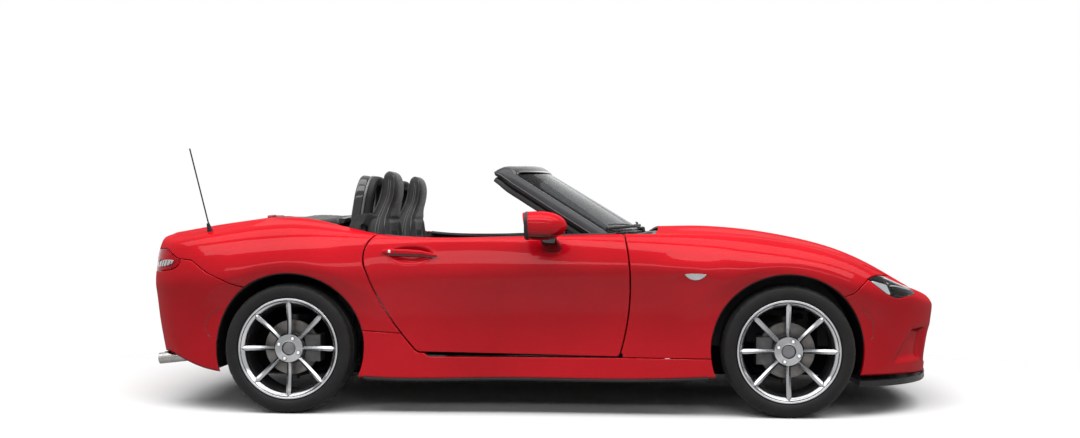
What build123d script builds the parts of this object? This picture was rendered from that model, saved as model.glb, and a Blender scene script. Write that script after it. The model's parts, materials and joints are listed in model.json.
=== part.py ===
"""Two-seat roadster, open, standing on its wheels.

Frame: +X forward, +Y to the car's left, +Z up, millimetres, with the ground at Z = 0 and
the origin under the middle of the overall length.  Panels are modelled on the left (+Y)
and mirrored.
"""
from build123d import *
import math
import os

os.makedirs("parts", exist_ok=True)

# ---------------------------------------------------------------- driving dimensions
WHEELBASE = 2310.0
FRONT_OVERHANG = 790.0
REAR_OVERHANG = 815.0
HALF_WIDTH = 867.5            # body without mirrors, at the rear axle
FRONT_TRACK = 1495.0
REAR_TRACK = 1505.0
TYRE_RADIUS = 302.5           # loaded, so the tread just meets the ground
TYRE_WIDTH = 205.0
RIM_RADIUS = 235.0            # outside of the flange
RIM_WIDTH = 190.0
BEAD_RADIUS = 218.0
BARREL_RADIUS = 206.0         # inside of the rim barrel
ARCH_RADIUS = 352.0           # body opening round each wheel
SKIN = 20.0                   # thickness of an outer panel with its flanges
PANEL_GAP = 8.0               # shut line round a door or a lid
LID_WALL = 14.0
DOOR_INNER_Y = 705.0          # inner face of the door trim
HINGE_INSET_X = 60.0          # door pin behind the door's front edge
HINGE_Y = 780.0
DOOR_HINGE_Z = (420.0, 690.0)
KINGPIN_Y = 700.0
DISC_RADIUS = 129.0
DISC_THICKNESS = 20.0
FLOOR_Z = 150.0               # underside of the floor
FLOOR_WALL = 16.0
TUNNEL_HALF_WIDTH = 135.0
TUNNEL_TOP_Z = 370.0
CABIN_HALF_WIDTH = 690.0
FIREWALL_X = 585.0
BULKHEAD_X = -880.0
SHELF_Z = 780.0               # floor of the well for the stowed top
HEADER_Z = 1190.0             # top of the windscreen frame
FIT = 0.3                     # running clearance of a pin in its bore

# ---------------------------------------------------------------- places worked out
LENGTH = WHEELBASE + FRONT_OVERHANG + REAR_OVERHANG
NOSE_X = LENGTH / 2
TAIL_X = -LENGTH / 2
FRONT_X = NOSE_X - FRONT_OVERHANG
REAR_X = TAIL_X + REAR_OVERHANG
WHEEL_Z = TYRE_RADIUS

# Sections round the left half of the body, from the middle of the tail to the middle of
# the nose.  Each one stands upright on the plan point (x, y) of the widest line and looks
# out along the plan angle phi.  Insets are measured inwards from that line.
SECTION_COLUMNS = ("x", "y", "phi", "low_z", "low_in", "tuck_in", "wide_z",
                   "crest_z", "crest_in", "shut_z", "shut_in")
SECTIONS = [
    (TAIL_X,           0.0, 180, 255, 60, 12, 600, 826,  34, 846,  70),
    (TAIL_X + 15,    300.0, 172, 252, 58, 12, 600, 824,  36, 843,  76),
    (TAIL_X + 70,    545.0, 152, 258, 50, 14, 605, 812,  50, 836, 108),
    (TAIL_X + 196,   737.0, 124, 262, 42, 18, 617, 808,  74, 842, 205),
    (REAR_X - 430,   826.0, 101, 208, 30, 26, 640, 836, 118, 872, 275),
    (REAR_X,  HALF_WIDTH,    90, 200, 18, 30, 662, 882, 150, 912, 292),
    (REAR_X + 340,   850.0,  91, 172, 12, 34, 662, 842,  84, 846, 150),
    (-150.0,         826.0,  90, 168,  8, 32, 665, 824,  46, 820,  92),
    (FRONT_X - 740,  838.0,  89, 166, 10, 36, 680, 833,  92, 836, 150),
    (FRONT_X - 365,  852.0,  89, 180, 12, 34, 672, 836, 140, 828, 215),
    (FRONT_X,        862.0,  88, 200, 16, 26, 655, 804, 160, 788, 262),
    (FRONT_X + 333,  806.0,  70, 190, 30, 26, 590, 716, 112, 742, 290),
    (NOSE_X - 235,   702.0,  48, 185, 42, 20, 545, 622,  95, 708, 290),
    (NOSE_X - 85,    520.0,  27, 175, 45, 16, 502, 562,  60, 620, 160),
    (NOSE_X - 17,    270.0,   9, 168, 38, 14, 478, 524,  44, 588, 130),
    (NOSE_X,           0.0,   0, 165, 34, 12, 468, 518,  42, 585, 130),
]
TAIL_SECTIONS = SECTIONS[:6]
SIDE_SECTIONS = SECTIONS[2:13]
DOOR_SECTIONS = SECTIONS[5:10]
NOSE_SECTIONS = SECTIONS[9:]


# ---------------------------------------------------------------- small helpers
def save(node, *solids):
    shape = solids[0] if len(solids) == 1 else Compound(children=list(solids))
    export_step(shape, f"parts/{node}.step")


def box(x0, x1, y0, y1, z0, z1):
    return Pos((x0 + x1) / 2, (y0 + y1) / 2, (z0 + z1) / 2) * Box(x1 - x0, y1 - y0, z1 - z0)


def post(x, y, z0, z1, radius):
    """Upright round bar."""
    return Pos(x, y, (z0 + z1) / 2) * Cylinder(radius, z1 - z0)


def bar_y(x, z, y0, y1, radius):
    """Round bar along Y."""
    return Pos(x, (y0 + y1) / 2, z) * Rot(90, 0, 0) * Cylinder(radius, y1 - y0)


def rod(start, end, radius):
    """Round bar between two points."""
    a = Vector(*start)
    b = Vector(*end)
    return Solid.make_cylinder(radius, (b - a).length, Plane(origin=a, z_dir=(b - a)))


def flipped(shape):
    """The same piece on the car's right."""
    return mirror(shape, Plane.XZ)


def side_prism(wire_edges, y0=0.0, y1=1100.0):
    """Prism along Y from a closed outline drawn in X and Z."""
    return Solid.extrude(Face(Wire(wire_edges)), Vector(0, y1 - y0, 0)).moved(Location((0, y0, 0)))


def outline_xz(points):
    """Straight edges through (x, z) points, closed."""
    ring = [Vector(x, 0, z) for x, z in points]
    return [Edge.make_line(a, b) for a, b in zip(ring, ring[1:] + ring[:1])]


def plan_prism(points, z0, z1):
    """Prism along Z from a closed outline drawn in X and Y, mirrored about Y = 0."""
    ring = points + [(x, -y) for x, y in reversed(points) if y > 0]
    wire = Wire([Edge.make_line(Vector(*a, z0), Vector(*b, z0)) for a, b in zip(ring, ring[1:] + ring[:1])])
    return Solid.extrude(Face(wire), Vector(0, 0, z1 - z0))


# ---------------------------------------------------------------- body surface
def profile(row):
    """Nine key points (inset, height) of a section, from the bottom edge over the widest
    line and the crest to the shut line."""
    s = dict(zip(SECTION_COLUMNS, row))
    low, wide, crest = s["low_z"], s["wide_z"], s["crest_z"]
    below = wide - low
    above = crest - wide
    return [
        (s["low_in"], low),
        (s["tuck_in"] * 1.02 + s["low_in"] * 0.12, low + 0.48 * below),
        (s["tuck_in"] * 0.34, low + 0.84 * below),
        (0.0, wide),
        (s["crest_in"] * 0.10, wide + 0.33 * above),
        (s["crest_in"] * 0.36, wide + 0.70 * above),
        (s["crest_in"] * 0.78, wide + 0.96 * above),
        (s["crest_in"] + 0.22 * (s["shut_in"] - s["crest_in"]), crest + 0.18 * (s["shut_z"] - crest)),
        (s["shut_in"], s["shut_z"]),
    ]


def inner_profile(points, wall):
    """The key points moved inwards by the wall, square to the profile."""
    moved = []
    for i, (d, z) in enumerate(points):
        a = points[max(i - 1, 0)]
        b = points[min(i + 1, len(points) - 1)]
        length = math.hypot(b[0] - a[0], b[1] - a[1])
        moved.append((d + wall * (b[1] - a[1]) / length, z - wall * (b[0] - a[0]) / length))
    return moved


def placed(row, point, side=1):
    """A section's (inset, height) as a point of the car."""
    s = dict(zip(SECTION_COLUMNS, row))
    d, z = point
    phi = math.radians(s["phi"])
    return Vector(s["x"] - d * math.cos(phi), side * (s["y"] - d * math.sin(phi)), z)


def arcs(points):
    """Three-point arcs through the points taken two steps at a time."""
    return [Edge.make_three_point_arc(*points[i:i + 3]) for i in range(0, len(points) - 2, 2)]


def skin_section(row, side=1, wall=SKIN):
    outer = profile(row)
    inner = inner_profile(outer, wall)
    out = [placed(row, p, side) for p in outer]
    back = [placed(row, p, side) for p in reversed(inner)]
    return Wire(arcs(out) + [Edge.make_line(out[-1], back[0])] + arcs(back)
                + [Edge.make_line(back[-1], out[0])])


def solid_section(row, inner_y):
    """Section of a door: the outer surface up to the crest, closed on a flat inner face."""
    out = [placed(row, p) for p in profile(row)[:7]]
    top = Vector(out[-1].X, inner_y, out[-1].Z)
    bottom = Vector(out[0].X, inner_y, out[0].Z)
    return Wire(arcs(out) + [Edge.make_line(out[-1], top), Edge.make_line(top, bottom),
                             Edge.make_line(bottom, out[0])])


def band(rows, both_sides=False):
    """Body skin lofted through the sections; over the middle it takes both sides."""
    wires = [skin_section(row) for row in rows]
    if both_sides == "tail":
        wires = [skin_section(row, -1) for row in reversed(rows[1:])] + wires
    if both_sides == "nose":
        wires = wires + [skin_section(row, -1) for row in reversed(rows[:-1])]
    return Solid.make_loft(wires)


side_band = band(SIDE_SECTIONS)
tail_band = band(TAIL_SECTIONS, "tail")
nose_band = band(NOSE_SECTIONS, "nose")


# ---------------------------------------------------------------- shut lines
def arc_xz(a, b, c):
    return Edge.make_three_point_arc(Vector(a[0], 0, a[1]), Vector(b[0], 0, b[1]), Vector(c[0], 0, c[1]))


def line_xz(a, b):
    return Edge.make_line(Vector(a[0], 0, a[1]), Vector(b[0], 0, b[1]))


DOOR_FRONT_X = FRONT_X - 720.0      # foremost point of the door
DOOR_REAR_X = REAR_X + 354.0        # rearmost point of the door
DOOR_LOW_Z = 270.0
DOOR_TOP_Z = 900.0                  # above the belt, where nothing is left to cut
SILL_REAR_Z = 385.0                 # seam over the sill at the rear wheel arch
SILL_FRONT_Z = 266.0


def door_outline(grow):
    """Side outline of the door, grown by half a shut line or shrunk by it."""
    front = DOOR_FRONT_X + grow
    rear = DOOR_REAR_X - grow
    low = DOOR_LOW_Z - grow
    a = (rear + 68, DOOR_TOP_Z)
    b = (rear + 68, 848)
    c = (rear + 14, 662)
    d = (rear + 226, low + 40)
    e = (rear + 268, low + 16)
    f = (front - 50, low)
    g = (front - 22, 820)
    h = (front - 80, 872)
    return [line_xz(a, b), arc_xz(b, (rear, 752), c),
            arc_xz(c, (rear + 106, 468), d), arc_xz(d, (rear + 240, low + 24), e),
            line_xz(e, f), arc_xz(f, (front, 560), g),
            arc_xz(g, (front - 40, 848), h), line_xz(h, (front - 80, DOOR_TOP_Z)),
            line_xz((front - 80, DOOR_TOP_Z), a)]


door_hole = side_prism(door_outline(PANEL_GAP / 2), 60.0)
door_block = side_prism(door_outline(-PANEL_GAP / 2), 60.0)
sill_block = side_prism(outline_xz([
    (REAR_X, 0), (REAR_X, SILL_REAR_Z + 8), (REAR_X + 345, SILL_REAR_Z),
    (DOOR_REAR_X + 180, SILL_REAR_Z - 12), (DOOR_REAR_X + 300, SILL_FRONT_Z + 2),
    (DOOR_FRONT_X - 90, SILL_FRONT_Z + 2), (FRONT_X, SILL_FRONT_Z - 2), (FRONT_X, 0)]), 60.0)
front_arch = bar_y(FRONT_X, WHEEL_Z, 60, 1100, ARCH_RADIUS)
rear_arch = bar_y(REAR_X, WHEEL_Z, 60, 1100, ARCH_RADIUS)

FRONT_SEAM = [(FRONT_X + 240, 0), (FRONT_X + 240, 545), (FRONT_X + 296, 566), (FRONT_X + 364, 632),
              (FRONT_X + 455, 642), (NOSE_X - 197, 628), (NOSE_X - 165, 760), (NOSE_X + 60, 760),
              (NOSE_X + 60, 0)]
REAR_SEAM = [(REAR_X - 190, 0), (REAR_X - 190, 586), (REAR_X - 223, 590), (REAR_X - 271, 604),
             (REAR_X - 391, 656), (REAR_X - 478, 712), (TAIL_X + 230, 722), (TAIL_X + 180, 700),
             (TAIL_X - 60, 700), (TAIL_X - 60, 0)]
front_bumper_block = side_prism(outline_xz(FRONT_SEAM), -1100.0)
rear_bumper_block = side_prism(outline_xz(REAR_SEAM), -1100.0)

HEADLAMP = [(FRONT_X + 364, 634), (FRONT_X + 421, 650), (FRONT_X + 500, 634), (FRONT_X + 590, 586),
            (NOSE_X - 168, 560), (NOSE_X - 215, 552), (FRONT_X + 509, 540), (FRONT_X + 455, 562)]
TAIL_LAMP = [(TAIL_X + 280, 708), (TAIL_X + 262, 682), (TAIL_X + 236, 668), (TAIL_X + 120, 652),
             (TAIL_X + 40, 652), (TAIL_X + 40, 760), (TAIL_X + 180, 762)]
LAMP_INNER_Y = 395.0
TAIL_LAMP_INNER_Y = 555.0
headlamp_block = side_prism(outline_xz(HEADLAMP), LAMP_INNER_Y, 860.0)
tail_lamp_block = side_prism(outline_xz(TAIL_LAMP), TAIL_LAMP_INNER_Y, 860.0)


def both(solid):
    """A left-hand block with its right-hand twin."""
    return [solid, flipped(solid)]


def whole(shape):
    """The largest solid of a cut."""
    return max(shape.solids(), key=lambda s: s.volume)


# ---------------------------------------------------------------- fixed outer panels
door_pin_x = DOOR_FRONT_X - PANEL_GAP / 2 - HINGE_INSET_X
door_swing = math.hypot(HINGE_INSET_X, 842 - HINGE_Y) + 5.5
door_swing_room = post(door_pin_x, HINGE_Y, 240, 900, door_swing)

front_part = box(DOOR_FRONT_X - 120, NOSE_X, 100, 1100, 0, 1000)
rear_part = box(TAIL_X - 50, DOOR_REAR_X + 260, 100, 1100, 0, 1000)
fender = (side_band & front_part) - door_hole - sill_block - front_arch - front_bumper_block
fender = whole(fender - door_swing_room - headlamp_block)
quarter = (side_band & rear_part) - door_hole - sill_block - rear_arch - rear_bumper_block - tail_lamp_block
quarter = whole(quarter)

MOUTH_WIDTH = 960.0
MOUTH_HEIGHT = 185.0
MOUTH_Z = 300.0
mouth_outline = Plane.YZ * RectangleRounded(MOUTH_WIDTH, MOUTH_HEIGHT, 80)
mouth = Pos(NOSE_X - 300, 0, MOUTH_Z) * extrude(mouth_outline, 400)
front_bumper = whole(nose_band & front_bumper_block)
front_bumper = whole(front_bumper - both(front_arch) - both(headlamp_block) - mouth)

rear_bumper = whole(tail_band & rear_bumper_block)
rear_bumper = whole(rear_bumper - both(rear_arch) - both(tail_lamp_block))


# ---------------------------------------------------------------- bonnet and boot lid
# Height on the centre line and fall at 600 mm from it, at places along the car.
CROWN_HALF = 600.0
BONNET_LINE = [(FRONT_X - 607, 870, 30), (FRONT_X - 365, 864, 32), (FRONT_X - 147, 849, 38),
               (FRONT_X + 73, 815, 44), (FRONT_X + 293, 761, 49), (FRONT_X + 483, 684, 48),
               (FRONT_X + 673, 571, 38)]
BOOT_LINE = [(REAR_X + 250, 937, 20), (REAR_X - 58, 933, 24), (REAR_X - 218, 924, 28),
             (REAR_X - 378, 904, 36), (REAR_X - 538, 882, 46), (REAR_X - 658, 861, 42),
             (REAR_X - 758, 840, 25)]


def crowned_slab(line, half, drop, wall):
    """Panel crowned across the car: lengthwise profiles lofted from side to side."""
    wires = []
    for y in (-half, -half / 2, 0.0, half / 2, half):
        top = [Vector(x, y, z - fall * (y / CROWN_HALF) ** 2 - drop) for x, z, fall in line]
        low = [p - Vector(0, 0, wall) for p in reversed(top)]
        wires.append(Wire(arcs(top) + [Edge.make_line(top[-1], low[0])] + arcs(low)
                          + [Edge.make_line(low[-1], top[0])]))
    return Solid.make_loft(wires)


def shut_point(row, gap):
    """Plan point of a section's shut line, moved inwards by the gap."""
    s = dict(zip(SECTION_COLUMNS, row))
    p = placed(row, (s["shut_in"] + gap, 0))
    return (p.X, p.Y)


def plan_edges(points, z):
    """Arcs through plan points two steps at a time, and their mirror images."""
    left = [Vector(x, y, z) for x, y in points]
    right = [Vector(x, -y, z) for x, y in reversed(points)]
    return arcs(left), arcs(right)


BONNET_REAR_X = FRONT_X - 567.5
BONNET_REAR_CORNER = (FRONT_X - 606.0, 652.0)
bonnet_side = [shut_point(row, PANEL_GAP + 3) for row in NOSE_SECTIONS]


def bonnet_prism(grow, z0, z1):
    """Upright prism on the bonnet's plan outline, grown by a gap."""
    side_points = [shut_point(row, PANEL_GAP - grow) for row in NOSE_SECTIONS]
    left, right = plan_edges(side_points, z0)
    corner = Vector(BONNET_REAR_CORNER[0] - grow, BONNET_REAR_CORNER[1] + grow, z0)
    corner_right = Vector(corner.X, -corner.Y, z0)
    rear_edge = Edge.make_three_point_arc(corner_right, Vector(BONNET_REAR_X - grow, 0, z0), corner)
    outline = Wire([rear_edge, Edge.make_line(corner, left[0].position_at(0))] + left + right
                   + [Edge.make_line(right[-1].position_at(1), corner_right)])
    return Solid.extrude(Face(outline), Vector(0, 0, z1 - z0))


bonnet = crowned_slab(BONNET_LINE, 700.0, 0.0, LID_WALL)
bonnet = whole(bonnet & bonnet_prism(0.0, 400, 1000))

BONNET_PIN_X = BONNET_REAR_X - 44.0
BONNET_PIN_Z = 800.0
BONNET_PIN_Y = 560.0
PIN_RADIUS = 5.0
EYE_RADIUS = 10.0
EYE_WIDTH = 20.0


def eye(x, z, y, width=EYE_WIDTH):
    return bar_y(x, z, y - width / 2, y + width / 2, EYE_RADIUS)


def eye_bore(x, z, y):
    return bar_y(x, z, y - 60, y + 60, PIN_RADIUS + FIT)


for side in (-1, 1):
    y = side * BONNET_PIN_Y
    leaf = box(BONNET_PIN_X, BONNET_PIN_X + 60, y - EYE_WIDTH / 2, y + EYE_WIDTH / 2, BONNET_PIN_Z - 2, 846)
    leaf = leaf & crowned_slab(BONNET_LINE, 700.0, 4.0, 80.0)
    bonnet = bonnet + leaf + eye(BONNET_PIN_X, BONNET_PIN_Z, y)
    bonnet = bonnet - eye_bore(BONNET_PIN_X, BONNET_PIN_Z, y)
save("bonnet", whole(bonnet))

LID_FRONT_X = REAR_X - 232.5
LID_PIN_X = LID_FRONT_X + 63.0
LID_PIN_Z = 870.0
LID_PIN_Y = 470.0
LID_LOW_Z = 704.0
lid_side = [shut_point(SECTIONS[i], PANEL_GAP + 2) for i in (4, 3, 2)]
row_2 = dict(zip(SECTION_COLUMNS, SECTIONS[2]))
phi_2 = math.radians(row_2["phi"])
lid_corner = (lid_side[-1][0] + 190 * math.cos(phi_2), lid_side[-1][1] + 190 * math.sin(phi_2))
lid_ring = ([(LID_FRONT_X, 0), (LID_FRONT_X, lid_side[0][1] + 12)] + lid_side
            + [lid_corner, (TAIL_X - 60, lid_corner[1]), (TAIL_X - 60, 0)])
lid_plan = plan_prism(lid_ring, LID_LOW_Z, 1000)
lid_hole = plan_prism([(LID_FRONT_X + PANEL_GAP, 0), (LID_FRONT_X + PANEL_GAP, lid_ring[1][1] + PANEL_GAP)]
                      + [(x, y + PANEL_GAP) for x, y in lid_side + [lid_corner]]
                      + [(TAIL_X - 60, lid_corner[1] + PANEL_GAP), (TAIL_X - 60, 0)], LID_LOW_Z - 2, 1000)
lid_top = crowned_slab(BOOT_LINE, 640.0, 0.0, LID_WALL)
lid_top = lid_top & plan_prism([(LID_FRONT_X, 0), (LID_FRONT_X, 600), (TAIL_X + 190, 600), (TAIL_X + 62, 280),
                                (TAIL_X + 60, 0)], 700, 1000)
lid_rear = whole(tail_band & box(TAIL_X - 60, TAIL_X + 230, -620, 620, LID_LOW_Z, 1000))
boot_lid = whole((lid_top + lid_rear) & lid_plan)
arm_points = [(8, 8), (8, -83), (-98, -83), (-98, 24), (-82, 24), (-82, -67), (-8, -67), (-8, 8)]
for side in (-1, 1):
    y = side * LID_PIN_Y
    arm = side_prism(outline_xz([(LID_PIN_X + x, LID_PIN_Z + z) for x, z in arm_points]),
                     y - EYE_WIDTH / 2, y + EYE_WIDTH / 2)
    boot_lid = boot_lid + arm + eye(LID_PIN_X, LID_PIN_Z, y)
    boot_lid = boot_lid - eye_bore(LID_PIN_X, LID_PIN_Z, y)
save("boot_lid", whole(boot_lid))

bonnet_hole = bonnet_prism(PANEL_GAP, 400, 1000)
fender = whole(fender - bonnet_hole)
quarter = whole(quarter - lid_hole)
save("front_fenders", fender, flipped(fender))
# the aerial's stud goes through the right-hand quarter, square to its skin
AERIAL_FOOT = (REAR_X - 452.0, -602.0, 846.8)
AERIAL_LEAN = (-0.207, -0.183, 0.961)
AERIAL_STUD = 5.0
stud_hole = Plane(origin=AERIAL_FOOT, z_dir=AERIAL_LEAN) * Cylinder(AERIAL_STUD + FIT, 90)
save("rear_quarters", quarter, whole(flipped(quarter) - stud_hole))
save("front_bumper", whole(front_bumper - bonnet_hole))
save("rear_bumper", whole(rear_bumper - lid_hole))

# ---------------------------------------------------------------- doors and mirrors
door = Solid.make_loft([solid_section(row, DOOR_INNER_Y) for row in DOOR_SECTIONS])
door = whole(door & door_block)
hinge_notch_y = HINGE_Y + 14
for z in DOOR_HINGE_Z:
    door = door - box(door_pin_x - 20, DOOR_FRONT_X + 30, DOOR_INNER_Y - 5, hinge_notch_y, z - 34, z + 34)
door_core = door
for z in DOOR_HINGE_Z:
    tongue = box(door_pin_x - 30, door_pin_x, HINGE_Y - 9, HINGE_Y + 9, z - 12, z + 12)
    barrel = post(door_pin_x, HINGE_Y, z - 12, z + 12, 9)
    door_core = door_core + tongue + barrel - post(door_pin_x, HINGE_Y, z - 40, z + 40, PIN_RADIUS + FIT)
pocket = box(DOOR_REAR_X + 230, DOOR_FRONT_X - 190, DOOR_INNER_Y - 5, DOOR_INNER_Y + 34, 400, 560)
pocket = fillet(pocket.edges().filter_by(Axis.Y), 50)
door_left = whole(door_core - pocket)
save("door_left", door_left)
save("door_right", flipped(door_left))

MIRROR_X = 52.0
MIRROR_Y = 950.0
MIRROR_Z = 876.0
mirror_head = Pos(MIRROR_X + 22, MIRROR_Y, MIRROR_Z) * scale(Sphere(60), by=(1.5, 1.85, 1.1))
mirror_head = mirror_head & box(MIRROR_X - 68, MIRROR_X + 130, 700, 1200, 700, 1100)


def mirror_section(x, y, z, length, height, radius):
    plane = Plane(origin=(x, y, z), x_dir=(1, 0, 0), z_dir=(0, 1, 0))
    return (plane * RectangleRounded(length, height, radius)).face().outer_wire()


mirror_foot = Solid.make_loft([mirror_section(MIRROR_X + 34, 770, 786, 104, 46, 18),
                               mirror_section(MIRROR_X + 34, 850, 800, 84, 38, 14),
                               mirror_section(MIRROR_X + 30, 915, 838, 70, 34, 12)])
mirror_left = mirror_head + (mirror_foot - door)
mirror_left = whole(mirror_left)
save("mirror_left", mirror_left)
save("mirror_right", flipped(mirror_left))

# ---------------------------------------------------------------- sills and floor
sill = whole(side_band & sill_block)
sill_core = box(REAR_X + 365, FRONT_X - 365, 700, 796, 172, SILL_FRONT_Z - 6)
sill = whole(sill + sill_core - door_hole)
sill = whole(sill - front_arch - rear_arch)
save("side_sills", sill, flipped(sill))

POST_X = DOOR_FRONT_X + PANEL_GAP / 2 + 6
APRON_Y = 454.0
RAIL_Y = 500.0
floor = box(REAR_X + 370, FIREWALL_X + 16, -CABIN_HALF_WIDTH, CABIN_HALF_WIDTH, FLOOR_Z, FLOOR_Z + FLOOR_WALL)
rear_half = 620.0
tub = floor + box(BULKHEAD_X - 16, REAR_X + 371, -rear_half, rear_half, FLOOR_Z, FLOOR_Z + FLOOR_WALL)
tub = tub + box(FIREWALL_X, FIREWALL_X + 16, -CABIN_HALF_WIDTH, CABIN_HALF_WIDTH, FLOOR_Z, 790)
tub = tub + box(BULKHEAD_X - 16, BULKHEAD_X, -rear_half, rear_half, FLOOR_Z, SHELF_Z - 1)
for side in (-1, 1):
    def wall(x0, x1, y0, y1, z0, z1):
        return box(x0, x1, min(side * y0, side * y1), max(side * y0, side * y1), z0, z1)
    tub = tub + wall(REAR_X + 370, FIREWALL_X + 16, CABIN_HALF_WIDTH - 14, 700, FLOOR_Z, SILL_FRONT_Z - 6)
    tub = tub + wall(BULKHEAD_X - 16, DOOR_REAR_X - 26, rear_half - 10, 640, 575, SHELF_Z)
    tub = tub + wall(FIREWALL_X, FRONT_X + 340, APRON_Y - 14, APRON_Y, 290, 690)
    tub = tub + wall(FIREWALL_X, NOSE_X - 250, 380, 441, 290, 380)
    tub = tub + wall(REAR_X - 700, BULKHEAD_X - 10, 438, RAIL_Y, 470, 530)
    a_post = wall(POST_X, FIREWALL_X + 16, 680, 772, SILL_FRONT_Z - 6, 790)
    a_post = a_post - (door_swing_room if side > 0 else flipped(door_swing_room))
    tub = tub + a_post
    b_post = wall(DOOR_REAR_X - 90, DOOR_REAR_X - 14, 630, 778, 575, 800)
    tub = tub + b_post
tunnel = box(BULKHEAD_X, FIREWALL_X + 1, -TUNNEL_HALF_WIDTH, TUNNEL_HALF_WIDTH, FLOOR_Z, TUNNEL_TOP_Z)
hollow = box(BULKHEAD_X - 30, FIREWALL_X + 30, -TUNNEL_HALF_WIDTH + 12, TUNNEL_HALF_WIDTH - 12,
             FLOOR_Z - 20, TUNNEL_TOP_Z - 12)
tub = tub + tunnel - hollow
tub = tub + box(REAR_X - 700, REAR_X - 670, -500, 500, 430, 530)
tub = tub + box(NOSE_X - 250, NOSE_X - 215, -441, 441, 290, 420)
for side in (-1, 1):
    tub = tub - box(FRONT_X - 190, FRONT_X + 190, side * 380 - 80, side * 380 + 80, 100, 490)
boot_box = box(REAR_X - 660, LID_FRONT_X + 30, -440, 440, 392, SHELF_Z)
boot_box = boot_box - box(REAR_X - 648, LID_FRONT_X + 18, -428, 428, 404, SHELF_Z + 1)
tub = tub + boot_box + box(LID_FRONT_X + 18, BULKHEAD_X - 1, -560, 560, SHELF_Z - 10, SHELF_Z)


# ---------------------------------------------------------------- hinge brackets of the tub
# the door's brackets bend inwards round the end of the open door
BRACKET_PLAN = [(-9, 5), (-5, 9), (3, 9), (8, 3), (34, -60), (86, -62), (86, -88), (18, -80), (-9, -9)]
body_tub = whole(tub)
for side in (-1, 1):
    for z in DOOR_HINGE_Z:
        pin = post(door_pin_x, side * HINGE_Y, z - 26, z + 26, PIN_RADIUS)
        for level in (z - 22, z + 22):
            ring = [Vector(door_pin_x + x, side * (HINGE_Y + y), level - 4) for x, y in BRACKET_PLAN]
            reach = Wire([Edge.make_line(a, b) for a, b in zip(ring, ring[1:] + ring[:1])])
            body_tub = body_tub + Solid.extrude(Face(reach), Vector(0, 0, 8))
        body_tub = body_tub + pin
    y = side * BONNET_PIN_Y
    body_tub = body_tub + bar_y(BONNET_PIN_X, BONNET_PIN_Z, y - 24, y + 24, PIN_RADIUS)
    for ear in (y - 19, y + 19):
        body_tub = body_tub + box(FIREWALL_X + 2, FIREWALL_X + 16, ear - 4, ear + 4, 760, BONNET_PIN_Z + 8)
        body_tub = body_tub + box(BONNET_PIN_X - 8, FIREWALL_X + 16, ear - 4, ear + 4, BONNET_PIN_Z - 8,
                                  BONNET_PIN_Z + 8)
    y = side * LID_PIN_Y
    body_tub = body_tub + bar_y(LID_PIN_X, LID_PIN_Z, y - 24, y + 24, PIN_RADIUS)
    for ear in (y - 19, y + 19):
        body_tub = body_tub + box(LID_PIN_X - 8, LID_PIN_X + 8, ear - 4, ear + 4, SHELF_Z - 1, LID_PIN_Z + 8)
body_tub = whole(body_tub)

# ---------------------------------------------------------------- windscreen, scuttle, dashboard
GLASS_LEAN = (0.523, 0.852)       # square to the windscreen, forwards and up
FRAME_DEPTH = 38.0
SCREEN_BASE = ((335, 648, 838), (522, 0, 852))
SCREEN_TOP = ((-160, 552, 1152), (2, 0, 1168))
HEADER_REAR = ((-214, 548, 1172), (-52, 0, HEADER_Z))


def rail_point(rail, y, lift=0.0):
    """Point of a cross rail at y, raised square to the glass."""
    (ex, ey, ez), (mx, _, mz) = rail
    share = (y / ey) ** 2
    return Vector(mx + (ex - mx) * share + lift * GLASS_LEAN[0], y,
                  mz + (ez - mz) * share + lift * GLASS_LEAN[1])


def screen_slab(rails, lift, depth):
    """Curved sheet through the rails, lofted from one side of the car to the other."""
    wires = []
    for y in (-SCREEN_HALF, -SCREEN_HALF / 2, 0.0, SCREEN_HALF / 2, SCREEN_HALF):
        ring = [rail_point(rail, y, lift) for rail in rails]
        ring = ring + [rail_point(rail, y, lift - depth) for rail in reversed(rails)]
        wires.append(Wire([Edge.make_line(a, b) for a, b in zip(ring, ring[1:] + ring[:1])]))
    return Solid.make_loft(wires)


def front_view_prism(base, top, peak):
    """Prism along X on a front view outline: (half width, height) at base and top, with the
    cross edges bowed up by peak at the middle."""
    (yb, zb), (yt, zt) = base, top
    corners = [Vector(-600, -yb, zb), Vector(-600, yb, zb), Vector(-600, yt, zt), Vector(-600, -yt, zt)]
    wire = Wire([Edge.make_three_point_arc(corners[0], Vector(-600, 0, zb + peak), corners[1]),
                 Edge.make_line(corners[1], corners[2]),
                 Edge.make_three_point_arc(corners[2], Vector(-600, 0, zt + peak), corners[3]),
                 Edge.make_line(corners[3], corners[0])])
    return Solid.extrude(Face(wire), Vector(1500, 0, 0))


SCREEN_HALF = 660.0
PILLAR_WIDTH = 42.0
BASE_RAIL = 30.0
TOP_RAIL = 24.0
base_y, base_z = SCREEN_BASE[0][1:]
top_y, top_z = SCREEN_TOP[0][1:]
solid_frame = screen_slab([SCREEN_BASE, SCREEN_TOP, HEADER_REAR], 0, FRAME_DEPTH)
frame_outline = front_view_prism((base_y + 16, base_z - 52), (top_y - 14, HEADER_Z + 12), 18)
solid_frame = whole(solid_frame & frame_outline)
opening = front_view_prism((base_y - PILLAR_WIDTH, base_z + BASE_RAIL),
                           (top_y - PILLAR_WIDTH, top_z - TOP_RAIL), 14)
pane = front_view_prism((base_y - PILLAR_WIDTH - FIT, base_z + BASE_RAIL + FIT),
                        (top_y - PILLAR_WIDTH - FIT, top_z - TOP_RAIL - FIT), 14)
glass = whole(screen_slab([SCREEN_BASE, SCREEN_TOP], -8, 5) & pane)
frame = whole(solid_frame - opening)
save("windscreen_frame", frame)
save("windscreen_glass", glass)

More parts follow.
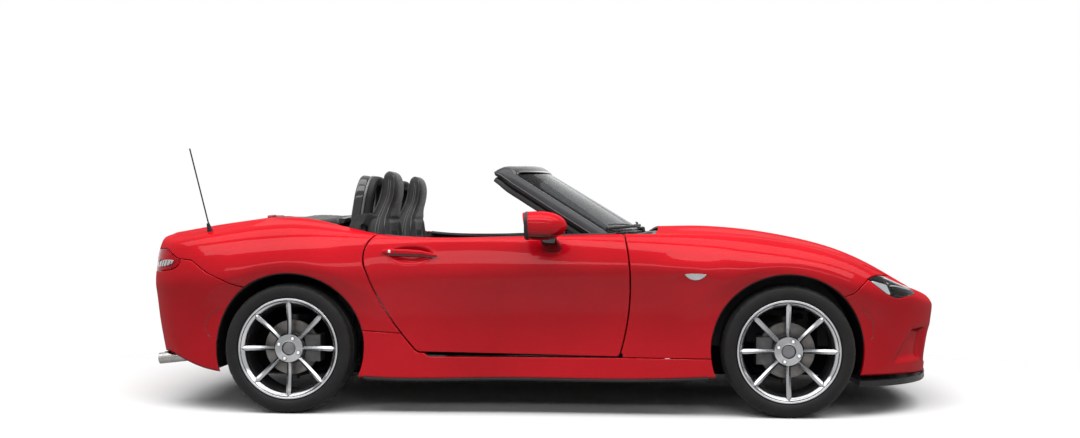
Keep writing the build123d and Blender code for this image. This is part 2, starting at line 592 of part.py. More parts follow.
scuttle = plan_prism([(BONNET_REAR_X - 12, 0), (BONNET_REAR_X - 20, 340), (FRONT_X - 634, 640),
                      (305, 640), (305, 560), (430, 300), (470, 0)], 790, 820)
scuttle = whole(scuttle - solid_frame)
for y in (-BONNET_PIN_Y, BONNET_PIN_Y):
    scuttle = scuttle - box(BONNET_PIN_X - 22, BONNET_PIN_X + 40, y - 30, y + 30, 700, 900)
save("scuttle_panel", whole(scuttle))

dash_line = [(FIREWALL_X, 789), (300, 789), (205, 806), (120, 800), (84, 760), (92, 690), (150, 610),
             (330, 570), (FIREWALL_X, 560)]
dash = side_prism(outline_xz(dash_line), -668, 668)
dash = whole(fillet(dash.edges().filter_by(Axis.Y).group_by(Axis.X)[0], 18))
save("dashboard", dash)

STEER_Y = 362.0
STEER_TILT = 22.0
STEER_CENTRE = (-62.0, STEER_Y, 742.0)
STEER_RADIUS = 175.0
steer_plane = Plane(origin=STEER_CENTRE, x_dir=(0, 1, 0),
                    z_dir=(-math.cos(math.radians(STEER_TILT)), 0, math.sin(math.radians(STEER_TILT))))
ring = Torus(STEER_RADIUS, 15)
boss = Pos(0, 0, -8) * Cylinder(52, 44)
spokes = [Rot(0, 0, a) * Pos(STEER_RADIUS / 2, 0, -4) * Box(STEER_RADIUS, 34, 14) for a in (0, 180, 270)]
steering = ring + boss + spokes - Pos(0, 0, -60) * Cylinder(11 + FIT, 80)
save("steering_wheel", whole(steer_plane * steering))
column = steer_plane * (Pos(0, 0, -100) * Cylinder(11, 160) + Pos(0, 0, -112) * Cylinder(36, 96))
column = whole(column - dash)
save("steering_column", column)

# ---------------------------------------------------------------- cabin
console = side_prism(outline_xz([(-760, 370), (-760, 470), (-420, 480), (-340, 452), (-40, 460),
                                 (80, 560), (83, 640), (150, 600), (330, 560), (330, 370)]), -108, 108)
console = whole(console - dash)
lever = rod((-130, 0, 440), (-150, 0, 560), 9) + Pos(-152, 0, 570) * Sphere(24)
console = whole(console + lever)
save("centre_console", console)


def level_section(x, y, z, length, width, radius):
    plane = Plane(origin=(x, y, z), x_dir=(1, 0, 0), z_dir=(0, 0, 1))
    return (plane * RectangleRounded(length, width, radius)).face().outer_wire()


SEAT_Y = 375.0
SEAT_WIDTH = 456.0


def seat(y):
    width = SEAT_WIDTH
    back = Solid.make_loft([level_section(-600, y, 300, 150, width - 20, 50),
                            level_section(-690, y, 560, 130, width, 50),
                            level_section(-752, y, 800, 116, width - 20, 48),
                            level_section(-762, y, 940, 100, width - 76, 44),
                            level_section(-748, y, 1040, 92, 268, 40),
                            level_section(-738, y, 1140, 60, 200, 28)])
    base = level_section(-360, y, FLOOR_Z + FLOOR_WALL, 420, width - 50, 40)
    middle = level_section(-350, y, 330, 480, width, 60)
    upper = level_section(-340, y, 440, 470, width - 20, 60)
    cushion = Solid.make_loft([base, middle, upper])
    tunnel_room = TUNNEL_HALF_WIDTH + 7
    return whole(back + cushion - box(-860, 0, -tunnel_room, tunnel_room, FLOOR_Z, 600))


save("seats", seat(SEAT_Y), seat(-SEAT_Y))


HOOP_X = -956.0


def hoop(y):
    """Moulded hoop behind a seat: an arch leaning back, standing on the rear shelf."""
    plane = Plane(origin=(HOOP_X, y, 640), x_dir=(0, 1, 0), z_dir=(1, 0, 0))
    outer = plane * Pos(0, 245) * RectangleRounded(330, 500, 120)
    inner = plane * Pos(0, 205) * RectangleRounded(230, 480, 90)
    arch = extrude(outer - inner, 66)
    lean = Rot(0, 9, 0)
    arch = Pos(HOOP_X, y, 640) * lean * Pos(-HOOP_X, -y, -640) * arch
    return arch & box(HOOP_X - 90, HOOP_X + 170, y - 200, y + 200, SHELF_Z, 1200)


hoop_left = whole(hoop(SEAT_Y))
hoop_bridge = box(-898, -882, -600, 600, SHELF_Z, 830)
save("roll_hoops", whole(hoop_left + flipped(hoop_left) + hoop_bridge))

TOP_EDGE_X = LID_FRONT_X + 14.0
top_slab = crowned_slab(BOOT_LINE, 640.0, 6.0, LID_WALL)
top_ring = [(TOP_EDGE_X, 0), (TOP_EDGE_X, 500), (TOP_EDGE_X + 60, 540), (REAR_X + 20, 540), (-966, 560), (-956, 0)]
folded_top = top_slab & plan_prism(top_ring, 700, 1000)
folded_top = folded_top + (crowned_slab(BOOT_LINE, 640.0, 10.0, 160) & box(-1285, -975, -430, 430, SHELF_Z, 1000))
save("folded_top", whole(folded_top))

# ---------------------------------------------------------------- lamps, grille, lip, aerial
headlamp = whole((nose_band & headlamp_block) - bonnet_hole)
tail_lamp = whole(side_band & tail_lamp_block)
save("headlamps", headlamp, flipped(headlamp))
save("tail_lamps", tail_lamp, flipped(tail_lamp))

GRILLE_BACK = 73.5
GRILLE_BARS = 7


def nose_slab(back, thick, half, z0, z1):
    """Curved upright slab behind the nose."""
    outer = [Vector(NOSE_X - back - 72, -half, z0), Vector(NOSE_X - back, 0, z0), Vector(NOSE_X - back - 72, half, z0)]
    inner = [p - Vector(thick, 0, 0) for p in outer]
    wire = Wire([Edge.make_three_point_arc(*outer), Edge.make_line(outer[2], inner[2]),
                 Edge.make_three_point_arc(*reversed(inner)), Edge.make_line(inner[0], outer[0])])
    return Solid.extrude(Face(wire), Vector(0, 0, z1 - z0))


grille = nose_slab(GRILLE_BACK, 12, MOUTH_WIDTH / 2 + 20, MOUTH_Z - MOUTH_HEIGHT / 2 - 14, MOUTH_Z + MOUTH_HEIGHT / 2 + 14)
grille = grille - (Pos(NOSE_X - 400, 0, MOUTH_Z) * extrude(Plane.YZ * RectangleRounded(MOUTH_WIDTH - 20, MOUTH_HEIGHT - 16, 70), 400))
for i in range(GRILLE_BARS):
    z = MOUTH_Z - MOUTH_HEIGHT / 2 + (i + 0.5) * MOUTH_HEIGHT / GRILLE_BARS
    grille = grille + nose_slab(GRILLE_BACK, 12, MOUTH_WIDTH / 2 - 2, z - 3, z + 3)
save("grille", whole(grille))

lip_left = [placed(row, (dict(zip(SECTION_COLUMNS, row))["low_in"] - 8, 0)) for row in NOSE_SECTIONS[2:]]
lip_z = (138.0, 164.7)
lip_left = [Vector(p.X, p.Y, lip_z[0]) for p in lip_left]
lip_right = [Vector(p.X, -p.Y, lip_z[0]) for p in reversed(lip_left)]
lip_inner = [Vector(lip_left[0].X, lip_left[0].Y - 200, lip_z[0]), Vector(lip_right[-1].X, lip_right[-1].Y + 200, lip_z[0])]
lip = Wire(arcs(lip_left) + arcs(lip_right) + [Edge.make_line(lip_right[-1], lip_inner[1]),
           Edge.make_line(lip_inner[1], lip_inner[0]), Edge.make_line(lip_inner[0], lip_left[0])])
lip = Solid.extrude(Face(lip), Vector(0, 0, lip_z[1] - lip_z[0]))
save("front_lip", lip)

aerial_plane = Plane(origin=AERIAL_FOOT, z_dir=AERIAL_LEAN)
aerial = aerial_plane * (Pos(0, 0, 20.5) * Cone(14, 7, 40) + Pos(0, 0, -14) * Cylinder(AERIAL_STUD, 40))
aerial = aerial + rod((AERIAL_FOOT[0] - 4, AERIAL_FOOT[1] - 3, AERIAL_FOOT[2] + 26),
                      (AERIAL_FOOT[0] - 102, AERIAL_FOOT[1], AERIAL_FOOT[2] + 404), 3.5)
save("aerial", whole(aerial))

# ---------------------------------------------------------------- wheels
HUB_FACE_Y = 45.0                 # wheel mounting face, outboard of the wheel's middle
SPOKES = 8
LUGS = 4
PITCH_RADIUS = 50.0
HUB_RADIUS = 66.0
SPINDLE_RADIUS = 22.0
half_tyre = TYRE_WIDTH / 2
half_rim = RIM_WIDTH / 2


def turned(points):
    """Solid of revolution about the axle (Y) from (radius, y) points."""
    ring = [Vector(r, y, 0) for r, y in points]
    wire = Wire([Edge.make_line(a, b) for a, b in zip(ring, ring[1:] + ring[:1])])
    return Solid.revolve(Face(wire), 360, Axis.Y)


def tyre():
    half = [(TYRE_RADIUS, half_tyre - 24), (TYRE_RADIUS - 13, half_tyre - 8), (TYRE_RADIUS - 36, half_tyre),
            (RIM_RADIUS + 2, half_rim - 11), (BEAD_RADIUS + FIT, half_rim - 13)]
    return turned([(r, -y) for r, y in reversed(half)] + half)


def rim():
    """Barrel with flanges, eight slim spokes and a hub with its bolt seats, outboard at +Y."""
    barrel = turned([(BARREL_RADIUS, -half_rim + 2), (BARREL_RADIUS + 2, half_rim - 14), (RIM_RADIUS - 22, half_rim - 4),
                     (RIM_RADIUS - 4, half_rim), (RIM_RADIUS, half_rim - 4), (RIM_RADIUS - 6, half_rim - 9),
                     (BEAD_RADIUS, half_rim - 12), (BEAD_RADIUS - 4, half_rim - 24), (BEAD_RADIUS - 4, -half_rim + 16),
                     (BEAD_RADIUS, -half_rim + 8), (RIM_RADIUS - 6, -half_rim + 4), (RIM_RADIUS - 6, -half_rim)])
    hub = turned([(SPINDLE_RADIUS + 8, HUB_FACE_Y), (HUB_RADIUS + 8, HUB_FACE_Y), (HUB_RADIUS - 2, HUB_FACE_Y + 34),
                  (SPINDLE_RADIUS + 10, HUB_FACE_Y + 34), (SPINDLE_RADIUS + 8, HUB_FACE_Y + 26)])
    wheel = barrel + hub
    for i in range(SPOKES):
        foot = Plane(origin=(0, HUB_FACE_Y + 20, HUB_RADIUS - 14), x_dir=(1, 0, 0), z_dir=(0, 0, 1))
        tip = Plane(origin=(0, half_rim - 15, BARREL_RADIUS + 5), x_dir=(1, 0, 0), z_dir=(0, 0, 1))
        spoke = Solid.make_loft([(foot * Rectangle(40, 24)).face().outer_wire(),
                                 (tip * Rectangle(23, 20)).face().outer_wire()])
        wheel = wheel + Rot(0, i * 360 / SPOKES, 0) * spoke
    for i in range(LUGS):
        angle = math.radians(22.5 + i * 360 / LUGS)
        seat_hole = bar_y(PITCH_RADIUS * math.sin(angle), PITCH_RADIUS * math.cos(angle), HUB_FACE_Y - 5, HUB_FACE_Y + 40, 8)
        wheel = wheel - seat_hole
    return whole(wheel)


def disc():
    """Brake disc with its hat, seated on the wheel's mounting face, and the hub spindle."""
    hat = turned([(0, HUB_FACE_Y - FIT), (HUB_RADIUS + 4, HUB_FACE_Y - FIT), (HUB_RADIUS + 4, HUB_FACE_Y - 30),
                  (DISC_RADIUS, HUB_FACE_Y - 30), (DISC_RADIUS, HUB_FACE_Y - 30 - DISC_THICKNESS),
                  (HUB_RADIUS - 4, HUB_FACE_Y - 30 - DISC_THICKNESS), (HUB_RADIUS - 4, HUB_FACE_Y - 8),
                  (SPINDLE_RADIUS, HUB_FACE_Y - 8), (SPINDLE_RADIUS, HUB_FACE_Y - 92), (0, HUB_FACE_Y - 92)])
    studs = [bar_y(PITCH_RADIUS * math.sin(math.radians(22.5 + i * 360 / LUGS)),
                   PITCH_RADIUS * math.cos(math.radians(22.5 + i * 360 / LUGS)), HUB_FACE_Y - 4, HUB_FACE_Y + 22, 7.4)
             for i in range(LUGS)]
    cap = turned([(0, HUB_FACE_Y - 4), (SPINDLE_RADIUS + 7.4, HUB_FACE_Y - 4), (SPINDLE_RADIUS + 7.4, HUB_FACE_Y + 24),
                  (SPINDLE_RADIUS, HUB_FACE_Y + 30), (0, HUB_FACE_Y + 30)])
    return whole(hat + studs + cap)


tyre_solid = tyre()
rim_solid = rim()
disc_solid = disc()
for end, x, track in (("front", FRONT_X, FRONT_TRACK), ("rear", REAR_X, REAR_TRACK)):
    for side, sign in (("left", 1), ("right", -1)):
        for name, solid in (("tyre", tyre_solid), ("rim", rim_solid), ("brake_disc", disc_solid)):
            turned_out = solid if sign > 0 else flipped(solid)
            save(f"{name}_{end}_{side}", Pos(x, sign * track / 2, WHEEL_Z) * turned_out)

# ---------------------------------------------------------------- uprights and suspension
BALL_LOW_Z = WHEEL_Z - 118.0
BALL_HIGH_Z = WHEEL_Z + 118.0
UPRIGHT_THICKNESS = 44.0
ARM_RADIUS = 15.0
PIN_LENGTH = 20.0
disc_inner_y = HUB_FACE_Y - 30 - DISC_THICKNESS


def upright(track, x, caliper_side):
    """Hub carrier with its bearing bore, ball joint sockets and the brake caliper."""
    middle = track / 2
    y_out = middle + disc_inner_y - 10
    y_in = y_out - UPRIGHT_THICKNESS
    carrier = bar_y(x, WHEEL_Z, y_in, y_out, 52)
    carrier = carrier + box(x - 26, x + 26, y_in, y_out, BALL_LOW_Z, BALL_HIGH_Z)
    clamp_x = x + caliper_side * (DISC_RADIUS - 22)
    gap = 5.0
    outer_face = middle + disc_inner_y + DISC_THICKNESS
    pads = box(clamp_x - 36, clamp_x + 36, y_in + 10, outer_face + 34, WHEEL_Z - 62, WHEEL_Z + 62)
    slot = bar_y(x, WHEEL_Z, middle + disc_inner_y - gap, outer_face + gap, DISC_RADIUS + gap)
    inside = bar_y(x, WHEEL_Z, y_out + 1, outer_face + 80, HUB_RADIUS + 10)
    bracket = box(min(x, clamp_x), max(x, clamp_x), y_in + 10, y_out - 1, WHEEL_Z - 36, WHEEL_Z + 36)
    carrier = carrier + bracket + (pads - slot - inside)
    carrier = carrier - bar_y(x, WHEEL_Z, y_in - 10, y_out + 10, SPINDLE_RADIUS + FIT)
    socket_y = (y_in + y_out) / 2
    for z0, z1 in ((BALL_LOW_Z - 5, BALL_LOW_Z + PIN_LENGTH + 2), (BALL_HIGH_Z - PIN_LENGTH - 2, BALL_HIGH_Z + 5)):
        carrier = carrier - post(x, socket_y, z0, z1, 8 + FIT)
    return whole(carrier), socket_y


def wishbone(x, socket_y, z_ball, z_frame, y_frame, spread, up):
    """A-arm from two bushes at the subframe to a ball pin under or over the upright."""
    ball = (x, socket_y, z_ball - up * 17)
    arm = rod((x - spread, y_frame, z_frame), ball, ARM_RADIUS) + rod((x + spread, y_frame, z_frame), ball, ARM_RADIUS)
    eye_z0, eye_z1 = sorted((z_ball - up * 34, z_ball - up * FIT))
    pin_z0, pin_z1 = sorted((z_ball - up * 20, z_ball + up * PIN_LENGTH))
    return arm + post(x, socket_y, eye_z0, eye_z1, 22) + post(x, socket_y, pin_z0, pin_z1, 8)


front_upright, front_socket_y = upright(FRONT_TRACK, FRONT_X, -1)
rear_upright, rear_socket_y = upright(REAR_TRACK, REAR_X, 1)
kingpin_y = front_socket_y
save("knuckle_front_left", front_upright)
save("knuckle_front_right", flipped(front_upright))


def subframe(x, width, z, length, socket_y, y_frame, rail_y, rail_z):
    """Crossmember with both sides' wishbones, hung under the body's rails."""
    cross = box(x - length / 2, x + length / 2, -width, width, z, z + 60)
    for side in (1, -1):
        low = wishbone(x, socket_y, BALL_LOW_Z, z + 20, y_frame, 150, 1)
        high = wishbone(x, socket_y, BALL_HIGH_Z, BALL_HIGH_Z + 10, y_frame + 50, 120, -1)
        tower = box(x - 150, x + 150, y_frame - 30, y_frame + 74, z, BALL_HIGH_Z + 40)
        tower = tower - box(x - 100, x + 100, y_frame - 40, y_frame + 90, z + 60, BALL_HIGH_Z - 20)
        bush = rod((x - 170, y_frame, z + 20), (x + 170, y_frame, z + 20), 24)
        seat_beam = box(x - 230, x + 230, rail_y - 46, rail_y, rail_z - 48, rail_z)
        seat_beam = seat_beam + box(x - 90, x + 90, y_frame + 20, rail_y, rail_z - 48, rail_z)
        half = whole(tower + low + high + bush + seat_beam)
        cross = cross + (half if side > 0 else flipped(half))
    return whole(cross)


front_frame = subframe(FRONT_X, 372, 168, 220, front_socket_y, 350, APRON_Y - 16, 290)
rear_frame = subframe(REAR_X, 372, 168, 220, rear_socket_y, 350, RAIL_Y - 12, 470)
save("front_subframe", front_frame)
save("rear_subframe", rear_frame)
save("rear_uprights", rear_upright, flipped(rear_upright))

# ---------------------------------------------------------------- engine, drive and exhaust
engine = box(FIREWALL_X + 55, FIREWALL_X + 645, -210, 210, 228, 700)
gearbox = Solid.make_loft([
    (Plane(origin=(FIREWALL_X + 55, 0, 258), z_dir=(-1, 0, 0)) * Circle(88)).face().outer_wire(),
    (Plane(origin=(FIREWALL_X - 60, 0, 256), z_dir=(-1, 0, 0)) * Circle(82)).face().outer_wire(),
    (Plane(origin=(-60, 0, 252), z_dir=(-1, 0, 0)) * Circle(60)).face().outer_wire()])
shaft = rod((-80, 0, 252), (REAR_X + 60, 0, 300), 30)
final_drive = Pos(REAR_X, 0, 312) * scale(Sphere(100), by=(1.3, 1.1, 0.75))
axles = rod((REAR_X, -(REAR_TRACK / 2 - 130), WHEEL_Z), (REAR_X, REAR_TRACK / 2 - 130, WHEEL_Z), 14)
driveline = whole(gearbox + shaft + final_drive + axles)
save("driveline", driveline)

silencer = Pos(REAR_X - 545, -90, 305) * fillet(Box(210, 760, 150).edges(), 46)
PIPE_Y = -190.0
PIPE_Z = 122.0
PIPE_RADIUS = 22.0
bend_rear = (REAR_X - 300, PIPE_Y, PIPE_Z)
bend_front = (FIREWALL_X + 60, PIPE_Y, PIPE_Z)
pipe = rod((REAR_X - 545, PIPE_Y, 260), bend_rear, PIPE_RADIUS) + Pos(*bend_rear) * Sphere(PIPE_RADIUS)
pipe = pipe + rod(bend_rear, bend_front, PIPE_RADIUS) + Pos(*bend_front) * Sphere(PIPE_RADIUS)
pipe = pipe + rod(bend_front, (FIREWALL_X + 130, PIPE_Y, 262), PIPE_RADIUS)
TIP_RADIUS = 27.0
tips = [rod((REAR_X - 560, y, 240), (REAR_X - 704, y, 224), TIP_RADIUS)
        - rod((REAR_X - 640, y, 231.1), (REAR_X - 713, y, 223), TIP_RADIUS - 3) for y in (-592, -520)]
link = box(REAR_X - 620, REAR_X - 560, -600, -440, 234, 262)
exhaust = silencer + pipe + link + tips
exhaust = whole(exhaust)
save("exhaust", exhaust)

save("engine_block", whole(engine - exhaust))

radiator = box(NOSE_X - 215, NOSE_X - 185, -330, 330, 170, 560)
save("radiator", radiator)

# ---------------------------------------------------------------- wheel arch liners
LINER_WALL = 4.0


def liner(x, y_in, y_out, floor_z):
    """Moulded half drum over a wheel, standing off the body's opening."""
    drum = bar_y(x, WHEEL_Z, y_in, y_out, ARCH_RADIUS + 1 + LINER_WALL)
    drum = drum - bar_y(x, WHEEL_Z, y_in - 1, y_out + 1, ARCH_RADIUS + 1)
    return whole(drum & box(x - 500, x + 500, y_in, y_out, floor_z, 900))


front_liner = liner(FRONT_X, APRON_Y, 735.0, 300.0)
rear_liner = liner(REAR_X, RAIL_Y, 770.0, 300.0)
rear_liner = whole(rear_liner - box(BULKHEAD_X - 17, BULKHEAD_X + 1, RAIL_Y - 5, rear_half + 1, 300, 700))
save("wheel_liners", front_liner, flipped(front_liner), rear_liner, flipped(rear_liner))
save("body_tub", body_tub)
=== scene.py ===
"""Open two-seat roadster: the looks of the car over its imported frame.

Metres, +X forward, +Y to the car's left, +Z up, with the ground at Z = 0.  Every new piece is
a surface of two parameters worked out with numpy, in place, and rides on a body of the frame.
"""

import json
import math

import bpy
import numpy as np
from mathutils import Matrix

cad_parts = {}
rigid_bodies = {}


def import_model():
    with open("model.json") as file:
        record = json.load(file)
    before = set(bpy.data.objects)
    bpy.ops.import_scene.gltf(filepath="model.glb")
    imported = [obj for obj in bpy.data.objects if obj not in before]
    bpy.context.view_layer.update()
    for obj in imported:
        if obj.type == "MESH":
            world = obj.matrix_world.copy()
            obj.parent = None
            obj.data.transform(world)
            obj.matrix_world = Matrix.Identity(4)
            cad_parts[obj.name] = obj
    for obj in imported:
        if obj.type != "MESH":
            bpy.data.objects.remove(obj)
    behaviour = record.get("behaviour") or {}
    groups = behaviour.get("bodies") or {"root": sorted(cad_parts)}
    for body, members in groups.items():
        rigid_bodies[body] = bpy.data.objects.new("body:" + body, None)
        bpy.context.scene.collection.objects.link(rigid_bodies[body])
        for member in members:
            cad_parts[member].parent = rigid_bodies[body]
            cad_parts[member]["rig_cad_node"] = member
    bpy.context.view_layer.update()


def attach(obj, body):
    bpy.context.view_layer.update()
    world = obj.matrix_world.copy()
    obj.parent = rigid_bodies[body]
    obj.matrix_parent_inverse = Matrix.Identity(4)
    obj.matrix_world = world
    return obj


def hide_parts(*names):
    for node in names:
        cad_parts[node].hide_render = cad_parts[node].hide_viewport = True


bl_info = {
    "name": "Two-seat roadster",
    "version": (1, 0, 0),
    "blender": (4, 5, 0),
    "location": "3D View > Sidebar > Roadster",
    "description": "Paintwork, glass, trim, wheels and cockpit of an open two-seat roadster",
    "category": "Object",
}

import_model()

# ---------------------------------------------------------------- lines of the car
NOSE_X = 1.9575
TAIL_X = -1.9575
FRONT_X = 1.1675
REAR_X = -1.1425
WHEEL_Z = 0.3025
FRONT_TRACK = 1.495
REAR_TRACK = 1.505
ARCH_RADIUS = 0.352
DOOR_FRONT_X = 0.4475
DOOR_REAR_X = -0.7885
HALF_WIDTH = 0.8675

# Sections round the left half, tail middle to nose middle: plan point (x, y) of the widest
# line, plan angle, then height and inset of the lower edge, the tuck, the widest height, the
# crest and the shut line.
SECTIONS = np.array([
    (TAIL_X, 0.0, 180, .255, .060, .012, .600, .826, .034, .846, .070),
    (TAIL_X + .015, .300, 172, .252, .058, .012, .600, .824, .036, .843, .076),
    (TAIL_X + .070, .545, 152, .258, .050, .014, .605, .812, .050, .836, .108),
    (TAIL_X + .196, .737, 124, .262, .042, .018, .617, .808, .074, .842, .205),
    (REAR_X - .430, .826, 101, .208, .030, .026, .640, .836, .118, .872, .275),
    (REAR_X, HALF_WIDTH, 90, .200, .018, .030, .662, .882, .150, .912, .292),
    (REAR_X + .340, .850, 91, .172, .012, .034, .662, .842, .084, .846, .150),
    (-.150, .826, 90, .168, .008, .032, .665, .824, .046, .820, .092),
    (FRONT_X - .740, .838, 89, .166, .010, .036, .680, .833, .092, .836, .150),
    (FRONT_X - .365, .852, 89, .180, .012, .034, .672, .836, .140, .828, .215),
    (FRONT_X, .862, 88, .200, .016, .026, .655, .804, .160, .788, .262),
    (FRONT_X + .333, .806, 70, .190, .030, .026, .590, .716, .112, .742, .290),
    (NOSE_X - .235, .702, 48, .185, .042, .020, .545, .622, .095, .708, .290),
    (NOSE_X - .085, .520, 27, .175, .045, .016, .502, .562, .060, .620, .160),
    (NOSE_X - .017, .270, 9, .168, .038, .014, .478, .524, .044, .588, .130),
    (NOSE_X, 0.0, 0, .165, .034, .012, .468, .518, .042, .585, .130),
])
# Lid crowns: place along the car, height on the centre line, fall 0.6 m off it.
BONNET_LINE = np.array([(FRONT_X - .607, .870, .030), (FRONT_X - .365, .864, .032), (FRONT_X - .147, .849, .038),
                        (FRONT_X + .073, .815, .044), (FRONT_X + .293, .761, .049), (FRONT_X + .483, .684, .048),
                        (FRONT_X + .673, .571, .038)])
BOOT_LINE = np.array([(REAR_X + .250, .937, .020), (REAR_X - .058, .933, .024), (REAR_X - .218, .924, .028),
                      (REAR_X - .378, .904, .036), (REAR_X - .538, .882, .046), (REAR_X - .658, .861, .042),
                      (REAR_X - .758, .840, .025)])
FRONT_SEAM = [(FRONT_X + .240, 0), (FRONT_X + .240, .545), (FRONT_X + .296, .566), (FRONT_X + .364, .632),
              (FRONT_X + .455, .642), (NOSE_X - .197, .628), (NOSE_X - .165, .760), (NOSE_X + .060, .760),
              (NOSE_X + .060, 0)]
REAR_SEAM = [(REAR_X - .190, 0), (REAR_X - .190, .586), (REAR_X - .223, .590), (REAR_X - .271, .604),
             (REAR_X - .391, .656), (REAR_X - .478, .712), (TAIL_X + .230, .722), (TAIL_X + .180, .700),
             (TAIL_X - .060, .700), (TAIL_X - .060, 0)]
HEADLAMP = [(FRONT_X + .364, .634), (FRONT_X + .421, .650), (FRONT_X + .500, .634), (FRONT_X + .590, .586),
            (NOSE_X - .168, .560), (NOSE_X - .215, .552), (FRONT_X + .509, .540), (FRONT_X + .455, .562)]
TAIL_LAMP = [(TAIL_X + .280, .708), (TAIL_X + .262, .682), (TAIL_X + .236, .668), (TAIL_X + .120, .652),
             (TAIL_X + .040, .652), (TAIL_X + .040, .760), (TAIL_X + .180, .762)]
SILL_TOP = [(REAR_X, .393), (REAR_X + .345, .385), (DOOR_REAR_X + .180, .373), (DOOR_REAR_X + .300, .268),
            (DOOR_FRONT_X - .090, .268), (FRONT_X, .264)]
SCREEN_BASE = ((.335, .648, .838), (.522, 0, .852))
SCREEN_TOP = ((-.160, .552, 1.152), (.002, 0, 1.168))


# ---------------------------------------------------------------- curves and grids
def spline_basis(knots, places):
    """Matrix of the natural cubic spline: its rows times the values at the knots give the
    values at the places, from second derivatives M with h M- + 2(h + h+) M + h+ M+ = 6 (jump of slope)."""
    knots, places = np.asarray(knots, float), np.asarray(places, float)
    n, h = len(knots), np.diff(knots)
    left, right = np.eye(n), np.zeros((n, n))
    i = np.arange(1, n - 1)
    left[i, i - 1], left[i, i], left[i, i + 1] = h[:-1], 2 * (h[:-1] + h[1:]), h[1:]
    right[i, i - 1], right[i, i + 1] = 6 / h[:-1], 6 / h[1:]
    right[i, i] = -6 / h[:-1] - 6 / h[1:]
    bend = np.linalg.solve(left, right)
    j = np.clip(np.searchsorted(knots, places) - 1, 0, n - 2)
    a, b = (knots[j + 1] - places) / h[j], (places - knots[j]) / h[j]
    whole = np.eye(n)
    lift = [((share ** 3 - share) * h[j] ** 2 / 6)[:, None] for share in (a, b)]
    return a[:, None] * whole[j] + b[:, None] * whole[j + 1] + lift[0] * bend[j] + lift[1] * bend[j + 1]


def chord_lengths(points):
    """Running length of a row of points."""
    return np.concatenate([[0], np.cumsum(np.linalg.norm(np.diff(points, axis=0), axis=1))])


def curve_through(points, count):
    """Cubic spline through the points at even steps of their running length."""
    points = np.asarray(points, float)
    run = chord_lengths(points)
    return spline_basis(run, np.linspace(0, run[-1], count)) @ points


def smooth_step(x, low, high):
    """0 below low, 1 above high, 3t^2 - 2t^3 between."""
    t = np.clip((x - low) / (high - low), 0, 1)
    return t * t * (3 - 2 * t)


def ridge(x, inner, outer, radius):
    """Tent of height 1 at x = 0, straight down to 0 at -inner and at +outer, its top and feet
    rounded: (soft(x+inner)/inner - soft(x)(1/inner + 1/outer) + soft(x-outer)/outer), with
    soft(t) = (t + sqrt(t^2 + r^2)) / 2."""
    def soft(t):
        """t where it is well above 0, else nearly 0."""
        return (t + np.sqrt(t * t + radius * radius)) / 2
    return soft(x + inner) / inner - soft(x) * (1 / inner + 1 / outer) + soft(x - outer) / outer


def grid_faces(rows, columns, wrap_rows=False, wrap_columns=False, start=0):
    """Quads of a rows by columns grid of points, which may close on itself either way."""
    i, j = np.meshgrid(np.arange(rows - (not wrap_rows)), np.arange(columns - (not wrap_columns)), indexing="ij")
    a, b = i * columns + j, i * columns + (j + 1) % columns
    c, d = ((i + 1) % rows) * columns + (j + 1) % columns, ((i + 1) % rows) * columns + j
    return np.stack([a, b, c, d], -1).reshape(-1, 4) + start


def unit(vectors):
    """Each vector over its own length."""
    return vectors / np.maximum(np.linalg.norm(vectors, axis=-1, keepdims=True), 1e-12)


def tangents(path):
    """Unit directions along a row of points."""
    return unit(np.gradient(path, axis=0))


def grid_normals(points):
    """Unit normals of a grid of points, from its two central differences."""
    return unit(np.cross(np.gradient(points, axis=0), np.gradient(points, axis=1)))


def normals_towards(points, way):
    """Unit normals of a grid, all turned over where their sum points away from the way."""
    normals = grid_normals(points)
    return normals * np.sign((normals * way).sum())


def outline_distance(places, outline):
    """Distance of places (n, 2) to a closed outline (m, 2), positive inside it."""
    a = np.asarray(outline, float)
    b = np.roll(a, -1, axis=0)
    best = np.full(len(places), 1e9)
    inside = np.zeros(len(places), bool)
    for (ax, ay), (bx, by) in zip(a, b):
        ex, ey = bx - ax, by - ay
        px, py = places[:, 0] - ax, places[:, 1] - ay
        t = np.clip((px * ex + py * ey) / max(ex * ex + ey * ey, 1e-12), 0, 1)
        best = np.minimum(best, (px - t * ex) ** 2 + (py - t * ey) ** 2)
        if ay != by:
            crosses = (ay > places[:, 1]) != (by > places[:, 1])
            inside ^= crosses & (places[:, 0] < ax + (places[:, 1] - ay) * ex / ey)
    return np.sqrt(best) * np.where(inside, 1, -1)


def arc_2d(a, b, c, count):
    """Points of the circle from a through b to c."""
    a, b, c = (np.array(p, float) for p in (a, b, c))
    m = np.array([b - a, c - a]) * 2
    centre = np.linalg.solve(m, [b @ b - a @ a, c @ c - a @ a])
    angles = [math.atan2(*(p - centre)[::-1]) for p in (a, b, c)]
    turn = (angles[2] - angles[0]) % (2 * math.pi)
    if (angles[1] - angles[0]) % (2 * math.pi) > turn:
        turn -= 2 * math.pi
    t = angles[0] + np.linspace(0, turn, count)
    return centre + np.linalg.norm(a - centre) * np.stack([np.cos(t), np.sin(t)], -1)


def rounded(corners, radius):
    """Closed outline with each corner cut back by the radius (or its own) and joined by the
    curve (1-t)^2 p + 2t(1-t) corner + t^2 q."""
    corners = np.asarray(corners, float)
    radius = np.broadcast_to(radius, len(corners))
    t = np.linspace(0, 1, 6)[:, None]
    out = []
    for k, corner in enumerate(corners):
        to_back, to_next = corners[k - 1] - corner, corners[(k + 1) % len(corners)] - corner
        p = corner + to_back * min(.48, radius[k] / np.linalg.norm(to_back))
        q = corner + to_next * min(.48, radius[k] / np.linalg.norm(to_next))
        out.append((1 - t) ** 2 * p + 2 * t * (1 - t) * corner + t ** 2 * q)
    return np.concatenate(out)


